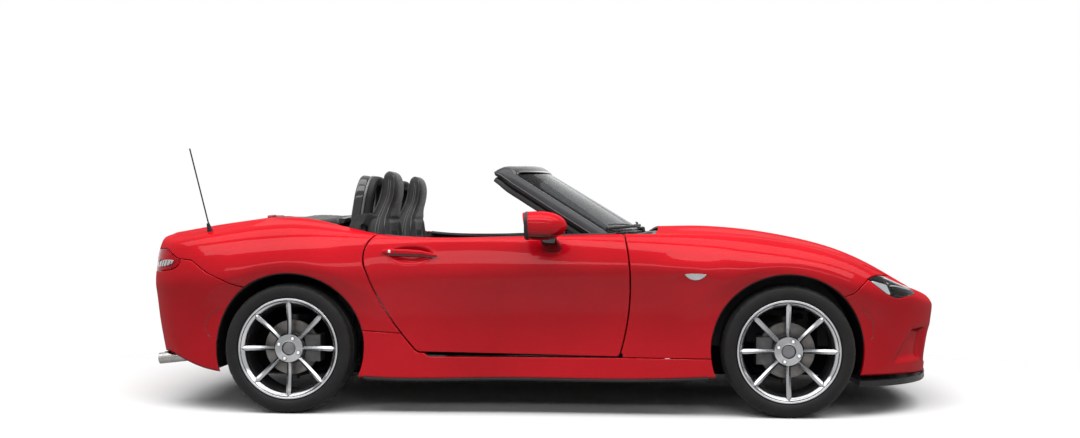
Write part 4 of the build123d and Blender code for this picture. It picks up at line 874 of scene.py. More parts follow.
class RoadsterFixedPanels(bpy.types.Operator):
    """Fenders, quarters, sills and bumpers, cut out of the pressed skin along their shut lines"""
    bl_idname = "roadster.fixed_panels"
    bl_label = "Fixed panels"

    def execute(self, context):
        s = context.scene.roadster_sizes
        gap, seam, wall, roll = s.shut_line / 2, s.seam / 2, s.panel_wall, s.edge_roll
        points, normals, f = skin_between(7.3, 14.2)
        door_clear = .413 - .083 * smooth_step(points[..., 2], .292, .310)
        fender = panel(points, normals, [-f["door"] - gap, -f["sill"] - seam, f["front_arch"], -f["nose"] - seam,
                                         -f["headlamp"] - LAMP_GAP, points[..., 0] - door_clear], wall, roll)
        points, normals, _ = skin_sheet(run_at(2.0) + gap, run_at(7.2))
        f = side_distances(points)
        quarter = panel(points, normals, [-f["door"] - gap, -f["sill"] - seam, f["rear_arch"], -f["tail"] - seam,
                                          -f["tail_lamp"] - LAMP_GAP, -.54 - points[..., 0]], wall, roll)
        points, normals, f = skin_between(4.9, 10.1)
        sill = panel(points, normals, [f["sill"] - seam, -f["door"] - gap, f["front_arch"], f["rear_arch"]], wall, roll)
        painted("painted_fenders", [fender], stands_for=["front_fenders"])
        painted("painted_quarters", [quarter], stands_for=["rear_quarters"])
        painted("painted_sills", [sill], stands_for=["side_sills"])
        points, normals, _ = skin_sheet(run_at(10.0), ROUND - run_at(10.0))
        f = side_distances(points)
        mouth = rounded([(-.48, .2075), (.48, .2075), (.48, .3925), (-.48, .3925)], .080)
        nose = panel(points, normals, [f["nose"] - seam, -f["headlamp"] - LAMP_GAP, f["front_arch"],
                                       -field_of(points, (1, 2), mouth),
                                       -field_of(points, (0, 1), bonnet_outline(.001)) - gap], wall, roll)
        points, normals, _ = skin_sheet(-run_at(5.0), run_at(5.0))
        f = side_distances(points)
        tail = panel(points, normals, [f["tail"] - seam, -f["tail_lamp"] - LAMP_GAP, f["rear_arch"]], wall, roll)
        painted("painted_front_bumper", [nose], stands_for=["front_bumper"], pair=False)
        painted("painted_rear_bumper", [tail], stands_for=["rear_bumper"], pair=False)
        return {"FINISHED"}


LAMP_GAP = .002


def bonnet_relief(x, y):
    """Raised middle of the bonnet: a shelf 9 mm high between two lines that close towards the
    nose, |y| < 0.40 - 0.10 t, with soft shoulders, fading out at both ends."""
    t = np.clip((x - .60) / 1.2, 0, 1)
    half = .400 - .075 * t
    shelf = 1 - smooth_step(np.abs(y), half - .065, half + .065)
    return .009 * shelf * smooth_step(x, .56, .85) * (1 - smooth_step(x, 1.45, 1.82))


class RoadsterLids(bpy.types.Operator):
    """Bonnet and boot lid, crowned sheets trimmed to their plan outlines"""
    bl_idname = "roadster.lids"
    bl_label = "Bonnet and boot lid"

    def execute(self, context):
        s = context.scene.roadster_sizes
        wall, roll = s.panel_wall, s.edge_roll
        points, normals, field = lid_sheet(BONNET_LINE, bonnet_outline(s.shut_line), bonnet_relief)
        painted("painted_bonnet", [panel(points, normals, [field], wall, roll)], "hood", ["bonnet"], pair=False)
        points, normals, field = lid_sheet(BOOT_LINE, boot_outline(s.shut_line))
        lid = panel(points, normals, [field], wall, roll)
        sheet, n, run = skin_sheet(-run_at(2.0), run_at(2.0), low=.55)
        edge = run_at(2.0) - np.abs(run)[:, None] - s.shut_line / 2 + 0 * sheet[..., 0]
        tail = panel(sheet, n, [edge, sheet[..., 2] - .7035], wall, roll)
        painted("painted_boot_lid", [lid, tail], "boot", ["boot_lid"], pair=False)
        return {"FINISHED"}


class RoadsterDoors(bpy.types.Operator):
    """Door skins, cut out of the pressed skin along their shut lines"""
    bl_idname = "roadster.doors"
    bl_label = "Doors"

    def execute(self, context):
        s = context.scene.roadster_sizes
        gap, wall, roll = s.shut_line / 2, s.panel_wall, s.edge_roll
        points, normals, f = skin_between(5.4, 9.4, step=.0118, lines=80)
        p, faces, n = panel(points, normals, [f["door"] - gap], wall, roll)
        painted("painted_door_left", [(p, faces, n)], "left_door", ["door_left"], pair=False)
        painted("painted_door_right", [(*mirrored(p, faces), n * (1, -1, 1))], "right_door", ["door_right"], pair=False)
        return {"FINISHED"}


# ---------------------------------------------------------------- wheels
def wheel_axles():
    """Name, x, y and side of each wheel."""
    for end, x, track in (("front", FRONT_X, FRONT_TRACK), ("rear", REAR_X, REAR_TRACK)):
        for side, sign in (("left", 1), ("right", -1)):
            yield f"{end}_{side}", x, sign * track / 2, sign


def placed_wheel(shell, x, y, sign):
    """A wheel part drawn with its outer face at +Y, moved to its axle; the right-hand ones are
    mirrored."""
    points, faces = shell
    points = points * (1, sign, 1) + (x, y, WHEEL_Z)
    return (points, faces if sign > 0 else flip_faces(faces))


SIPES = 40
GROOVE_DEPTH, SIPE_DEPTH = .0058, .0038


def tread_tyre():
    """Tyre section turned about the axle, 200 steps.  Its tread sinks where four grooves run
    round it and where slanted sipes cross the shoulders, by a depth times a notch function."""
    half = [(.3025, 0), (.3024, .030), (.3018, .055), (.3000, .075), (.2955, .0885), (.2890, .0955), (.2800, .0995),
            (.2680, .1022), (.2560, .1018), (.2460, .0985), (.2400, .0945), (.2385, .0915), (.2365, .0868),
            (.2300, .0845), (.2200, .0820)]
    dense = curve_through(half, 400)
    run = chord_lengths(dense)
    across = [0, .0110, .0140, .0160, .0200, .0220, .0250, .0350, .0450, .0480, .0500, .0540,
              .0560, .0590, .0660, .0750,
              .0850]
    tread = np.interp(across, dense[:250, 1], run[:250])
    places = np.concatenate([tread, np.linspace(tread[-1], run[-1], 17)[1:]])
    half = np.stack([np.interp(places, run, dense[:, k]) for k in (0, 1)], -1)
    profile = np.concatenate([half[:0:-1] * (1, -1), half])
    steps = 200
    a = np.linspace(0, 2 * math.pi, steps, endpoint=False)[:, None]
    r, y = profile[:, 0][None] + 0 * a, profile[:, 1][None] + 0 * a
    off = np.abs(y)
    groove = 1 - smooth_step(np.minimum(np.abs(off - .018), np.abs(off - .052)), .0030, .0058)
    wave = np.abs(((a * SIPES / (2 * math.pi) + off * 9) % 1) - .5) * 2
    sipe = smooth_step(wave, .74, .90) * smooth_step(off, .058, .064) * (1 - smooth_step(off, .086, .094))
    r = r - GROOVE_DEPTH * groove - SIPE_DEPTH * sipe
    inner = np.array([(.2200, .0810), (.2190, .0600), (.2950, .0550), (.2950, -.0550),
                      (.2190, -.0600), (.2200, -.0810)])
    inner = np.broadcast_to(inner[None], (steps, 6, 2))
    ring = np.concatenate([np.stack([r, y], -1), inner], 1)
    points = np.stack([ring[..., 0] * np.sin(a), ring[..., 1], ring[..., 0] * np.cos(a)], -1)
    return outward((points.reshape(-1, 3), [grid_faces(steps, ring.shape[1], True, True)]))


def rim_barrel():
    """Barrel, outer well and rolled flange as one turned section."""
    outer = [(.2060, -.0930), (.2062, -.050), (.2066, .000), (.2070, .040), (.2040, .0480),
             (.2035, .0530), (.2060, .0580)]
    lip = [(.2062, .0650), (.2068, .0700), (.2098, .0752), (.2160, .0812), (.2215, .0862),
           (.2245, .0900), (.2256, .0936),
           (.2275, .0951), (.2320, .0953), (.2342, .0945), (.2350, .0932), (.2350, .0905),
           (.2335, .0880), (.2300, .0868),
           (.2230, .0800), (.2150, .0710)]
    back = [(.2135, .0700), (.2140, -.0700), (.2180, -.0850), (.2280, -.0905), (.2290, -.0950)]
    well = turned(outer + lip[:1] + back, 128)
    return well, turned(lip + [(.2110, .0650), (.2085, .0620)], 160)


def spoke_ring(count, width):
    """Slim spokes: a six-sided section with a ridge along its face, carried out from the hub,
    w(s) = width (1.28 + 0.42 s) wide and drawn to a point at the rim, its face y(s) rising to it."""
    s = np.linspace(0, 1, 30)[:, None]
    r = .034 + s * .194
    w = width * (1.28 + .42 * s) / 2 + .012 * smooth_step(.20 - s, 0, .20)
    w = w * (1 - .80 * smooth_step(s, .86, 1.0))
    face = .0790 + .0145 * s - .011 * np.sin(math.pi * s) - .003 * smooth_step(s, .95, 1.0)
    deep = .030 - .014 * s
    across = np.array([-1, -.90, -.06, .06, .90, 1, .70, -.70])[None]
    height = np.array([-.55, -.36, 0, 0, -.36, -.55, -1, -1])[None]
    x = w * across
    y = face + deep * height
    z = r + 0 * across
    ring = np.stack([x, y, z], -1)
    points, faces = capped(ring)
    return joined(*[(points @ turn_y(k * 360 / count).T, faces) for k in range(count)])


def hub_face():
    """Hub dish with a raised collar, turned, and a domed blank centre cap."""
    dish = [(.0300, .0450), (.0740, .0450), (.0735, .0580), (.0700, .0700), (.0640, .0765),
            (.0540, .0782), (.0370, .0790),
            (.0335, .0800), (.0318, .0780), (.0312, .0700)]
    cap = [(.0002, .0755), (.0100, .0753), (.0220, .0745), (.0285, .0728), (.0302, .0700),
           (.0302, .0560), (.0002, .0560)]
    return turned(dish, 64), turned(cap, 48)


def lug_set(count):
    """Wheel nuts in their seats: a six-sided head under a small dome, in a dark ring."""
    nuts, seats = [], []
    for k in range(count):
        a = math.radians(22.5 + k * 360 / count)
        centre = np.array([.0500 * math.sin(a), 0, .0500 * math.cos(a)])
        nuts.append(turned([(.0002, .0840), (.0040, .0836), (.0070, .0822), (.0085, .0800), (.0085, .0640),
                            (.0002, .0640)], 6, centre))
        seats.append(turned([(.0096, .0775), (.0122, .0792), (.0128, .0780), (.0122, .0690), (.0096, .0690)], 28,
                            centre))
    return joined(*nuts), joined(*seats)


def brake_disc(radius):
    """Vented disc: two faces with a groove round its edge between them, and the hat."""
    profile = [(.070, .0146), (.074, .0149), (radius - .002, .0149), (radius, .0135),
               (radius, .0085), (radius - .008, .0080),
               (radius - .008, .0020), (radius, .0015), (radius, -.0035), (radius - .002, -.0050), (.066, -.0050)]
    hat = [(.0300, .0447), (.0690, .0447), (.0698, .0430), (.0698, .0120), (.0660, .0120),
           (.0660, .0405), (.0300, .0405)]
    return turned(profile, 96), turned(hat, 64)


class RoadsterWheels(bpy.types.Operator):
    """Tyres, eight-spoke wheels, wheel nuts and brake discs"""
    bl_idname = "roadster.wheels"
    bl_label = "Wheels"

    def execute(self, context):
        s = context.scene.roadster_sizes
        tyre, (well, flange), spokes = tread_tyre(), rim_barrel(), spoke_ring(s.spokes, s.spoke_width)
        dish, cap = hub_face()
        nuts, seats = lug_set(s.lugs)
        disc, hat = brake_disc(s.disc_radius)
        for name, x, y, sign in wheel_axles():
            body = f"wheel_{name}"
            for label, shell, key, sharp, stands_for in (
                    ("rubber", tyre, "tyre", 38, [f"tyre_{name}"]), ("barrel", well, "dark_alloy", 30, [f"rim_{name}"]),
                    ("flange", flange, "polished", 40, ()), ("spokes", spokes, "alloy", 22, ()),
                    ("hub", dish, "alloy", 35, ()), ("centre_cap", cap, "dark_alloy", 35, ()),
                    ("nuts", nuts, "chrome", 25, ()), ("nut_seats", seats, "dark_alloy", 35, ()),
                    ("disc", disc, "iron", 30, [f"brake_disc_{name}"]), ("disc_hat", hat, "cast", 30, ())):
                piece(f"{label}_{name}", placed_wheel(shell, x, y, sign), key, body, stands_for, sharp=sharp)
        return {"FINISHED"}


# ---------------------------------------------------------------- windscreen, cowl and mirrors
def loop_2d(half_a, half_b, power=2.5, count=40, start=0.0):
    """Closed outline |a/A|^n + |b/B|^n = 1, from signed powers 2/n of cosine and sine."""
    wave = signed_powers(start + np.linspace(0, 2 * math.pi, count, endpoint=False), power)
    return np.stack([half_a * wave[0], half_b * wave[1]], -1)


def swept(path, first, second, section, wrap=False):
    """Bar with the section (a, b) carried along a path: p + a first + b second, the section
    being one outline or one for each place."""
    section = np.broadcast_to(section, (len(path), *np.shape(section)[-2:]))
    first, second = np.broadcast_to(first, path.shape), np.broadcast_to(second, path.shape)
    points = path[:, None] + section[..., :1] * first[:, None] + section[..., 1:] * second[:, None]
    if wrap:
        return outward((points.reshape(-1, 3), [grid_faces(*points.shape[:2], True, True)]))
    return capped(points)


def rail(line, y):
    """Point of a cross rail ((x, y, z) at its end, (x, 0, z) in the middle): a parabola in y."""
    end, middle = np.array(line[0]), np.array(line[1])
    share = (np.asarray(y) / end[1]) ** 2
    return np.stack([middle[0] + (end[0] - middle[0]) * share, np.asarray(y) + 0 * share,
                     middle[2] + (end[2] - middle[2]) * share], -1)


GLASS_UP = np.array([.523, 0, .852])


def screen_path():
    """Edge of the windscreen from the left foot over the header to the right foot, its upper
    corners rounded."""
    foot, top = np.array(SCREEN_BASE[0]), np.array(SCREEN_TOP[0])
    along = unit(foot - top)
    t = np.linspace(0, 1, 12)[:, None]
    leg = foot + along * .045 + ((top + along * .085) - (foot + along * .045)) * t
    turn_end = rail(SCREEN_TOP, np.array([.466]))[0]
    s = np.linspace(0, 1, 9)[1:-1, None]
    bend = (1 - s) ** 2 * leg[-1] + 2 * s * (1 - s) * (top + (.004, 0, .002)) + s ** 2 * turn_end
    header = rail(SCREEN_TOP, np.linspace(.466, 0, 16))
    half = np.concatenate([leg, bend, header])
    return curve_through(np.concatenate([half, half[-2::-1] * (1, -1, 1)]), 110)


def screen_frames(path):
    """Unit vectors outward in the glass and up from it, along the path."""
    along = tangents(path)
    out = unit(np.cross(GLASS_UP, along))
    out *= np.sign((out[len(out) // 2] * (-1, 0, .5)).sum())
    up = np.cross(along, out)
    return out, up * np.sign((up * GLASS_UP).sum(1, keepdims=True))


def standing(outline):
    """Closed outline (y, z) as points in the plane x = 0."""
    return np.pad(outline, ((0, 0), (1, 0)))


class RoadsterScreen(bpy.types.Operator):
    """Windscreen frame, its seals, the laminated pane, the cowl with its wipers, and the mirror
    and visors inside"""
    bl_idname = "roadster.screen"
    bl_label = "Windscreen"

    def execute(self, context):
        path = screen_path()
        out, up = screen_frames(path)
        head = smooth_step(np.abs(out[:, 0]), .55, .82)
        face = np.array([(-.034, .001), (-.024, .0045), (-.008, .0060), (.006, .0040), (.015, -.006), (.020, -.018),
                         (.022, -.032), (.020, -.046), (.013, -.057), (.002, -.062), (-.014, -.062), (-.027, -.056),
                         (-.035, -.042), (-.038, -.020), (-.037, -.006)])
        face = curve_through(np.concatenate([face, face[:1]]), 39)[:-1]
        wide = np.where(face[:, :1] > 0, face[:, :1] * 2.6, face[:, :1])
        low = face[:, 1:] - .016 * np.clip(wide / .05, 0, 1) ** 2
        header = np.concatenate([wide, low], 1)
        section = face + (header - face) * head[:, None, None]
        piece("screen_frame", swept(path, out, up, section), "satin", stands_for=["windscreen_frame"], sharp=50)
        seal = loop_2d(.019, .014, 4, 20) + np.stack([-.010 + .030 * head, -.075 - .006 * head], -1)[:, None]
        piece("screen_seal", swept(path, out, up, seal), "rubber", sharp=50)
        bead = loop_2d(.006, .004, 2.4, 14) + (-.040, .0005)
        lip = loop_2d(.0045, .0045, 2.4, 12) + np.stack([.022 + .034 * head, -.040 - .012 * head], -1)[:, None]
        piece("screen_beads", joined(swept(path, out, up, bead), swept(path, out, up, lip)), "gloss_trim")
        self.pane()
        self.cowl()
        self.inside()
        return {"FINISHED"}

    def pane(self):
        """Curved pane between the rails, 5 mm thick, and the black band printed round it."""
        y = np.linspace(-1, 1, 60)[:, None]
        v = np.linspace(-.012, 1.01, 34)[None]
        half = SCREEN_BASE[0][1] + (SCREEN_TOP[0][1] - SCREEN_BASE[0][1]) * v - .012
        base, top = rail(SCREEN_BASE, y * half), rail(SCREEN_TOP, y * half)
        points = base + (top - base) * v[..., None]
        points[..., 1] = y * half
        normals = normals_towards(points, GLASS_UP)
        p, faces, shade = panel(points - normals * .002, normals, [], wall=.005)
        piece("screen_pane", (p, faces), "glass", stands_for=["windscreen_glass"], normals=shade)
        edge = np.minimum((1 - np.abs(y)) * half, np.minimum(v - .01, 1.0 - v) * .60)
        p, faces, shade = panel(points - normals * .0095, normals, [.030 - edge], wall=.002, square=(0,))
        piece("screen_band", (p, faces), "gloss_trim", normals=shade)

    def cowl(self):
        """Ruled panel from the bonnet's rear edge to the glass, with rows of air slots, and the
        wipers parked over it."""
        y, v = np.meshgrid(np.linspace(-.640, .640, 240), np.linspace(0, 1, 25), indexing="ij")
        front_x = .594 - .0385 * (y / .652) ** 2
        front = np.stack([front_x, y, crown_height(BONNET_LINE, np.full(y.shape, .575), y) - .024], -1)
        rear = rail(SCREEN_BASE, y * .995) + (-.012, 0, -.016)
        points = front + (rear - front) * v[..., None]
        row = smooth_step(np.abs(((y / .0155) % 1) - .5), .18, .30)
        row = row * smooth_step(.42 - np.abs(np.abs(y) - .33), .22, .24)
        band = smooth_step(.17 - np.abs(v - .36), 0, .02)
        points[..., 2] -= .0045 * (1 - row) * band * smooth_step(.17 - np.abs(np.abs(y) - .33), 0, .004)
        normals = normals_towards(points, (0, 0, 1))
        piece("cowl_panel", panel(points, normals, [], wall=.004)[:2], "trim", stands_for=["scuttle_panel"], sharp=40)
        shells = []
        for pivot_y, reach in ((.40, -.50), (-.07, -.49)):
            foot = rail(SCREEN_BASE, np.array([pivot_y]))[0] + (0, 0, -.006)
            t = np.linspace(0, 1, 26)
            ys = pivot_y + reach * t
            lift = np.stack([-.004 - .028 * smooth_step(t, 0, 1), 0 * t, .008 + .030 * smooth_step(t, 0, .9)], -1)
            shells.append(tube(rail(SCREEN_BASE, ys) + lift, .0075 - .0035 * t, 10, squash=.6))
            blade = rail(SCREEN_BASE, np.linspace(ys[-1] - .06, min(.60, ys[-1] + .44), 34)) + (-.012, 0, .0215)
            shells.append(tube(blade, .0045, 8, squash=1.6))
            shells.append(outward(lathe_up([(.0001, .022), (.011, .020), (.014, .012), (.016, -.016), (.0001, -.016)],
                                           foot, 24)))
        piece("wipers", joined(*shells), "trim", sharp=40)

    def inside(self):
        """Mirror on its stem, and two sun visors under the header."""
        turn = turn_y(-8)
        housing = pebble((-.035, 0, 1.098), (.030, .235, .066), 3.4, turn)
        stem = tube(curve_through([(-.030, 0, 1.118), (-.018, 0, 1.145), (.000, 0, 1.158)], 8), .009, 12)
        pad = pebble((-.002, 0, 1.158), (.052, .046, .016), 3, turn_y(30))
        visors = [pebble((-.128, side * .285, 1.128), (.125, .330, .017), 5, turn_y(29) @ turn_x(side * 3))
                  for side in (1, -1)]
        piece("cabin_mirror", joined(housing, stem, pad, *visors), "plastic", sharp=40)
        ring = standing(loop_2d(.112, .028, 3.4, 48))
        ring = np.stack([ring + (-.0145, 0, 0), ring + (-.0162, 0, 0)]) @ turn.T + (-.035, 0, 1.098)
        piece("cabin_mirror_glass", capped(ring), "mirror", sharp=30)


def lathe_up(profile, centre, steps=32):
    """Surface of revolution about an upright axis, for (r, height) pairs of a closed section."""
    points, faces = lathe(profile, (0, 0, 0), steps)
    return points[:, [0, 2, 1]] + np.asarray(centre), flip_faces(faces)


# ---------------------------------------------------------------- door mirrors
MIRROR = (.062, .950, .876)
MIRROR_FORM = np.array([(-.024, .90), (-.006, .955), (.016, .99), (.040, 1.0), (.070, .975),
                        (.100, .88), (.124, .73), (.144, .52),
                        (.157, .27), (.1635, .0)])


def mirror_shell(start):
    """Housing of a door mirror: superellipses of power 2.6 in y and z, scaled by the form's
    share at each x and drawn forward at the top."""
    t = np.linspace(0, 1, 34)
    run = chord_lengths(MIRROR_FORM * (1, .06))
    form = spline_basis(run / run[-1], t) @ MIRROR_FORM
    section = loop_2d(.113, .0655, 2.6, 72, start)
    section = np.concatenate([section, section[:1]])
    points = np.stack([form[:, 0][:, None] + 0 * section[:, 0], MIRROR[1] + form[:, 1:] * section[:, 0],
                       MIRROR[2] + form[:, 1:] * section[:, 1]], -1)
    points[..., 1] -= .10 * (points[..., 0] - .04) * form[:, 1:]
    points[..., 0] -= .18 * np.clip(points[..., 2] - MIRROR[2], -.05, .1) * (1 - smooth_step(points[..., 0], .0, .10))
    normals = grid_normals(points)
    normals[-1] = (1, 0, 0)
    flip = np.sign((normals * (points - (.05, *MIRROR[1:]))).sum(-1, keepdims=True))
    return points, normals * np.where(flip == 0, 1, flip)


class RoadsterMirrors(bpy.types.Operator):
    """Door mirrors: painted cap, black lower shell and foot, and the mirror glass"""
    bl_idname = "roadster.mirrors"
    bl_label = "Door mirrors"

    def execute(self, context):
        points, normals = mirror_shell(-math.pi / 2)
        cap = panel(points, normals, [points[..., 2] - .8335], wall=.004, roll=.002)
        points, normals = mirror_shell(math.pi / 2)
        lower = panel(points, normals, [.8320 - points[..., 2]], wall=.004, roll=.002)
        places = np.linspace(0, 1, 16)
        keys = np.array([(.088, .775, .776, .050, .028), (.088, .815, .781, .046, .026), (.086, .860, .790, .041, .023),
                         (.080, .905, .806, .037, .020), (.074, .930, .824, .034, .018)])
        form = spline_basis(np.linspace(0, 1, 5), places) @ keys
        outline = loop_2d(1, 1, 2.8, 40)
        foot = np.stack([form[:, :1] + form[:, 3:4] * outline[:, 0], form[:, 1:2] + 0 * outline[:, 0],
                         form[:, 2:3] + form[:, 4:5] * outline[:, 1]], -1)
        flat = standing(loop_2d(.0995, .0565, 2.7, 60))
        middle = np.array([-.0120, MIRROR[1] + .006, MIRROR[2]])
        glass = np.stack([flat + (-.0022, 0, 0), flat]) @ turn_y(-4).T + middle
        rim = standing(loop_2d(.1015, .0585, 2.7, 80))
        frame_ring = swept(rim + middle + (-.0035, 0, 0), unit(rim), (1, 0, 0), loop_2d(.0060, .0090, 3, 14), wrap=True)
        back = np.stack([flat + (.0030, 0, 0), flat * .5 + (.0300, 0, 0)]) + middle
        for side, sign in (("left", 1), ("right", -1)):
            def put(name, shell, key, stands_for=(), shade=None, sharp=None):
                """One of the mirror's pieces, for this side."""
                if sign < 0:
                    shell = mirrored(*shell)
                    shade = None if shade is None else shade * (1, -1, 1)
                piece(f"{name}_{side}", shell, key, f"{side}_door", stands_for, sharp=sharp, normals=shade)
            put("mirror_cap", cap[:2], "paint", [f"mirror_{side}"], cap[2])
            put("mirror_lower", lower[:2], "gloss_trim", shade=lower[2])
            put("mirror_foot", capped(foot), "gloss_trim", sharp=50)
            put("mirror_silver", capped(glass), "mirror", sharp=30)
            put("mirror_rim", joined(frame_ring, capped(back)), "trim", sharp=50)
        return {"FINISHED"}


# ---------------------------------------------------------------- seats, belts, hoops and the folded top
SEAT_Y = .375
# Back of a seat: height, middle of its thickness, half thickness, half width, bolster
SEAT_BACK = np.array([(.300, -.598, .055, .205, .000), (.380, -.628, .058, .216, .010), (.470, -.668, .062, .226, .030),
                      (.560, -.702, .062, .229, .044), (.660, -.738, .060, .229, .044), (.760, -.772, .058, .224, .036),
                      (.840, -.784, .058, .212, .024), (.900, -.778, .056, .186, .012), (.950, -.766, .051, .150, .004),
                      (1.000, -.748, .048, .128, .000), (1.060, -.737, .046, .120, .000),
                      (1.105, -.735, .038, .114, .000),
                      (1.132, -.737, .025, .104, .000), (1.143, -.738, .008, .086, .000)])


BACK_POWER, CUSHION_POWER = 3.2, 3.6


def seat_back_rings():
    """Rings up the seat's back: superellipses of power 3.2 whose front is pushed forward over
    each bolster by b cos^2 and hollowed between them."""
    run = chord_lengths(SEAT_BACK[:, :4] * (1, 1, 1, .5))
    form = spline_basis(run / run[-1], np.linspace(0, 1, 110)) @ SEAT_BACK
    z, x, thick, half, bolster = (form[:, k:k + 1] for k in range(5))
    a, b = loop_2d(1, 1, BACK_POWER, 72).T[:, None]
    front = np.clip(a, 0, 1)
    push = bolster * np.exp(-((np.abs(b) - .80) / .17) ** 2) - .55 * bolster * np.exp(-(b / .50) ** 2)
    ridge_line = .006 * np.exp(-((z - .905) / .010) ** 2)
    swell = .006 * np.sin(np.clip((z - .40) / .46, 0, 1) * math.pi) * (np.abs(b) < .56)
    points = np.stack([x + np.maximum(thick, .004) * a + front * (push + swell - ridge_line), half * b, z + 0 * a], -1)
    for level, depth in ((.470, .0050), (.585, .0042), (.700, .0042), (.815, .0050)):
        groove = np.exp(-((z - level - .03 * b ** 2) / .0065) ** 2) * np.exp(-(np.abs(b) / .60) ** 10)
        points[..., 0] -= depth * groove * front
    seam = np.exp(-((np.abs(b) - .615) / .035) ** 2) * smooth_step(z, .36, .42) * (1 - smooth_step(z, .86, .90))
    points[..., 0] -= .0062 * seam * front
    piping = np.exp(-((a - .10) / .12) ** 2) * smooth_step(np.abs(b), .6, .9)
    points[..., 1] -= np.sign(b) * .0022 * piping
    return points


def cushion_rings():
    """Rings along the seat's cushion, back to front, each a superellipse: its top swells in the
    middle, rises over the side bolsters and rolls down at the front."""
    t = np.linspace(0, 1, 84)[:, None]
    x = -.596 + .462 * t
    close = np.sqrt(np.clip(1 - np.abs(2 * t - 1) ** 9, 0, 1))
    half = (.196 + .030 * smooth_step(t, 0, .5) - .020 * smooth_step(t, .75, 1)) * (.45 + .55 * close)
    middle = .342 + .028 * t
    tall = (.096 - .018 * smooth_step(t, .7, 1)) * (.20 + .80 * close)
    b, c = loop_2d(1, 1, CUSHION_POWER, 80).T[:, None]
    top = np.clip(c, 0, 1)
    bolster = .034 * np.exp(-((np.abs(b) - .82) / .15) ** 2) * (1 - .5 * smooth_step(t, .6, 1))
    crown = .010 * np.cos(np.clip(b / .62, -1, 1) * math.pi / 2) * np.sin(np.clip(t, 0, 1) * math.pi)
    z = middle + tall * c + top * (bolster + crown - .020 * smooth_step(t, .1, .4) + .020 * smooth_step(t, .72, .9))
    for place in (.26, .48, .70):
        z = z - .0045 * np.exp(-((t - place - .02 * b ** 2) / .013) ** 2) * (np.abs(b) < .60) * top
    seam = np.exp(-((np.abs(b) - .635) / .035) ** 2) * (1 - smooth_step(t, .9, 1)) * smooth_step(t, .02, .08)
    z = z - .0060 * seam * top
    bulge = .012 * np.exp(-((c - .1) / .5) ** 2) * np.sign(b) * np.abs(b)
    return np.stack([x + 0 * b, half * b + bulge, z], -1)


def stitches(line, out, pitch=.0115, size=.0018):
    """Row of thread dashes along a line, standing just off the leather: short capped bars, one
    each pitch, two thirds of a pitch long."""
    run = chord_lengths(line)
    count = max(2, int(run[-1] / pitch))
    starts = (np.arange(count) + .17) * pitch
    places = np.stack([starts, starts + pitch * .33, starts + pitch * .66], 1)
    points = np.stack([np.interp(places, run, line[:, k]) for k in range(3)], -1)
    lift = np.stack([np.interp(places, run, out[:, k]) for k in range(3)], -1)
    points = points + lift * np.array([0, .0012, 0])[:, None]
    side = unit(np.cross(unit(points[:, 2] - points[:, 0]), lift[:, 1]))
    a = np.linspace(0, 2 * math.pi, 4, endpoint=False)[:, None]
    ring = size / 2 * (np.cos(a) * side[:, None, None] + np.sin(a) * lift[:, :, None])
    points = (points[:, :, None] + ring).reshape(-1, 3)
    first = (np.arange(count) * 12)[:, None, None]
    ends = np.array([[0, 1, 2, 3], [11, 10, 9, 8]])
    return points, [(first + faces).reshape(-1, 4) for faces in (grid_faces(3, 4, False, True), ends)]


def ring_line(points, index, low, high):
    """One column of a ring grid between two rows, with its outward direction."""
    normals = grid_normals(points)
    line, out = points[low:high, index], normals[low:high, index]
    out = out * np.sign((out * (line - points[low:high].mean(1))).sum(1, keepdims=True))
    return line + out * .0006, out


def column_near(outline, a, b):
    """Which point of an outline lies nearest (a, b)."""
    return int(np.argmin(np.hypot(outline[:, 0] - a, outline[:, 1] - b)))


def two_seats(shell):
    """A shell about y = 0, once for each seat."""
    points, faces = shell
    return joined((points + (0, SEAT_Y, 0), faces), (points + (0, -SEAT_Y, 0), faces))


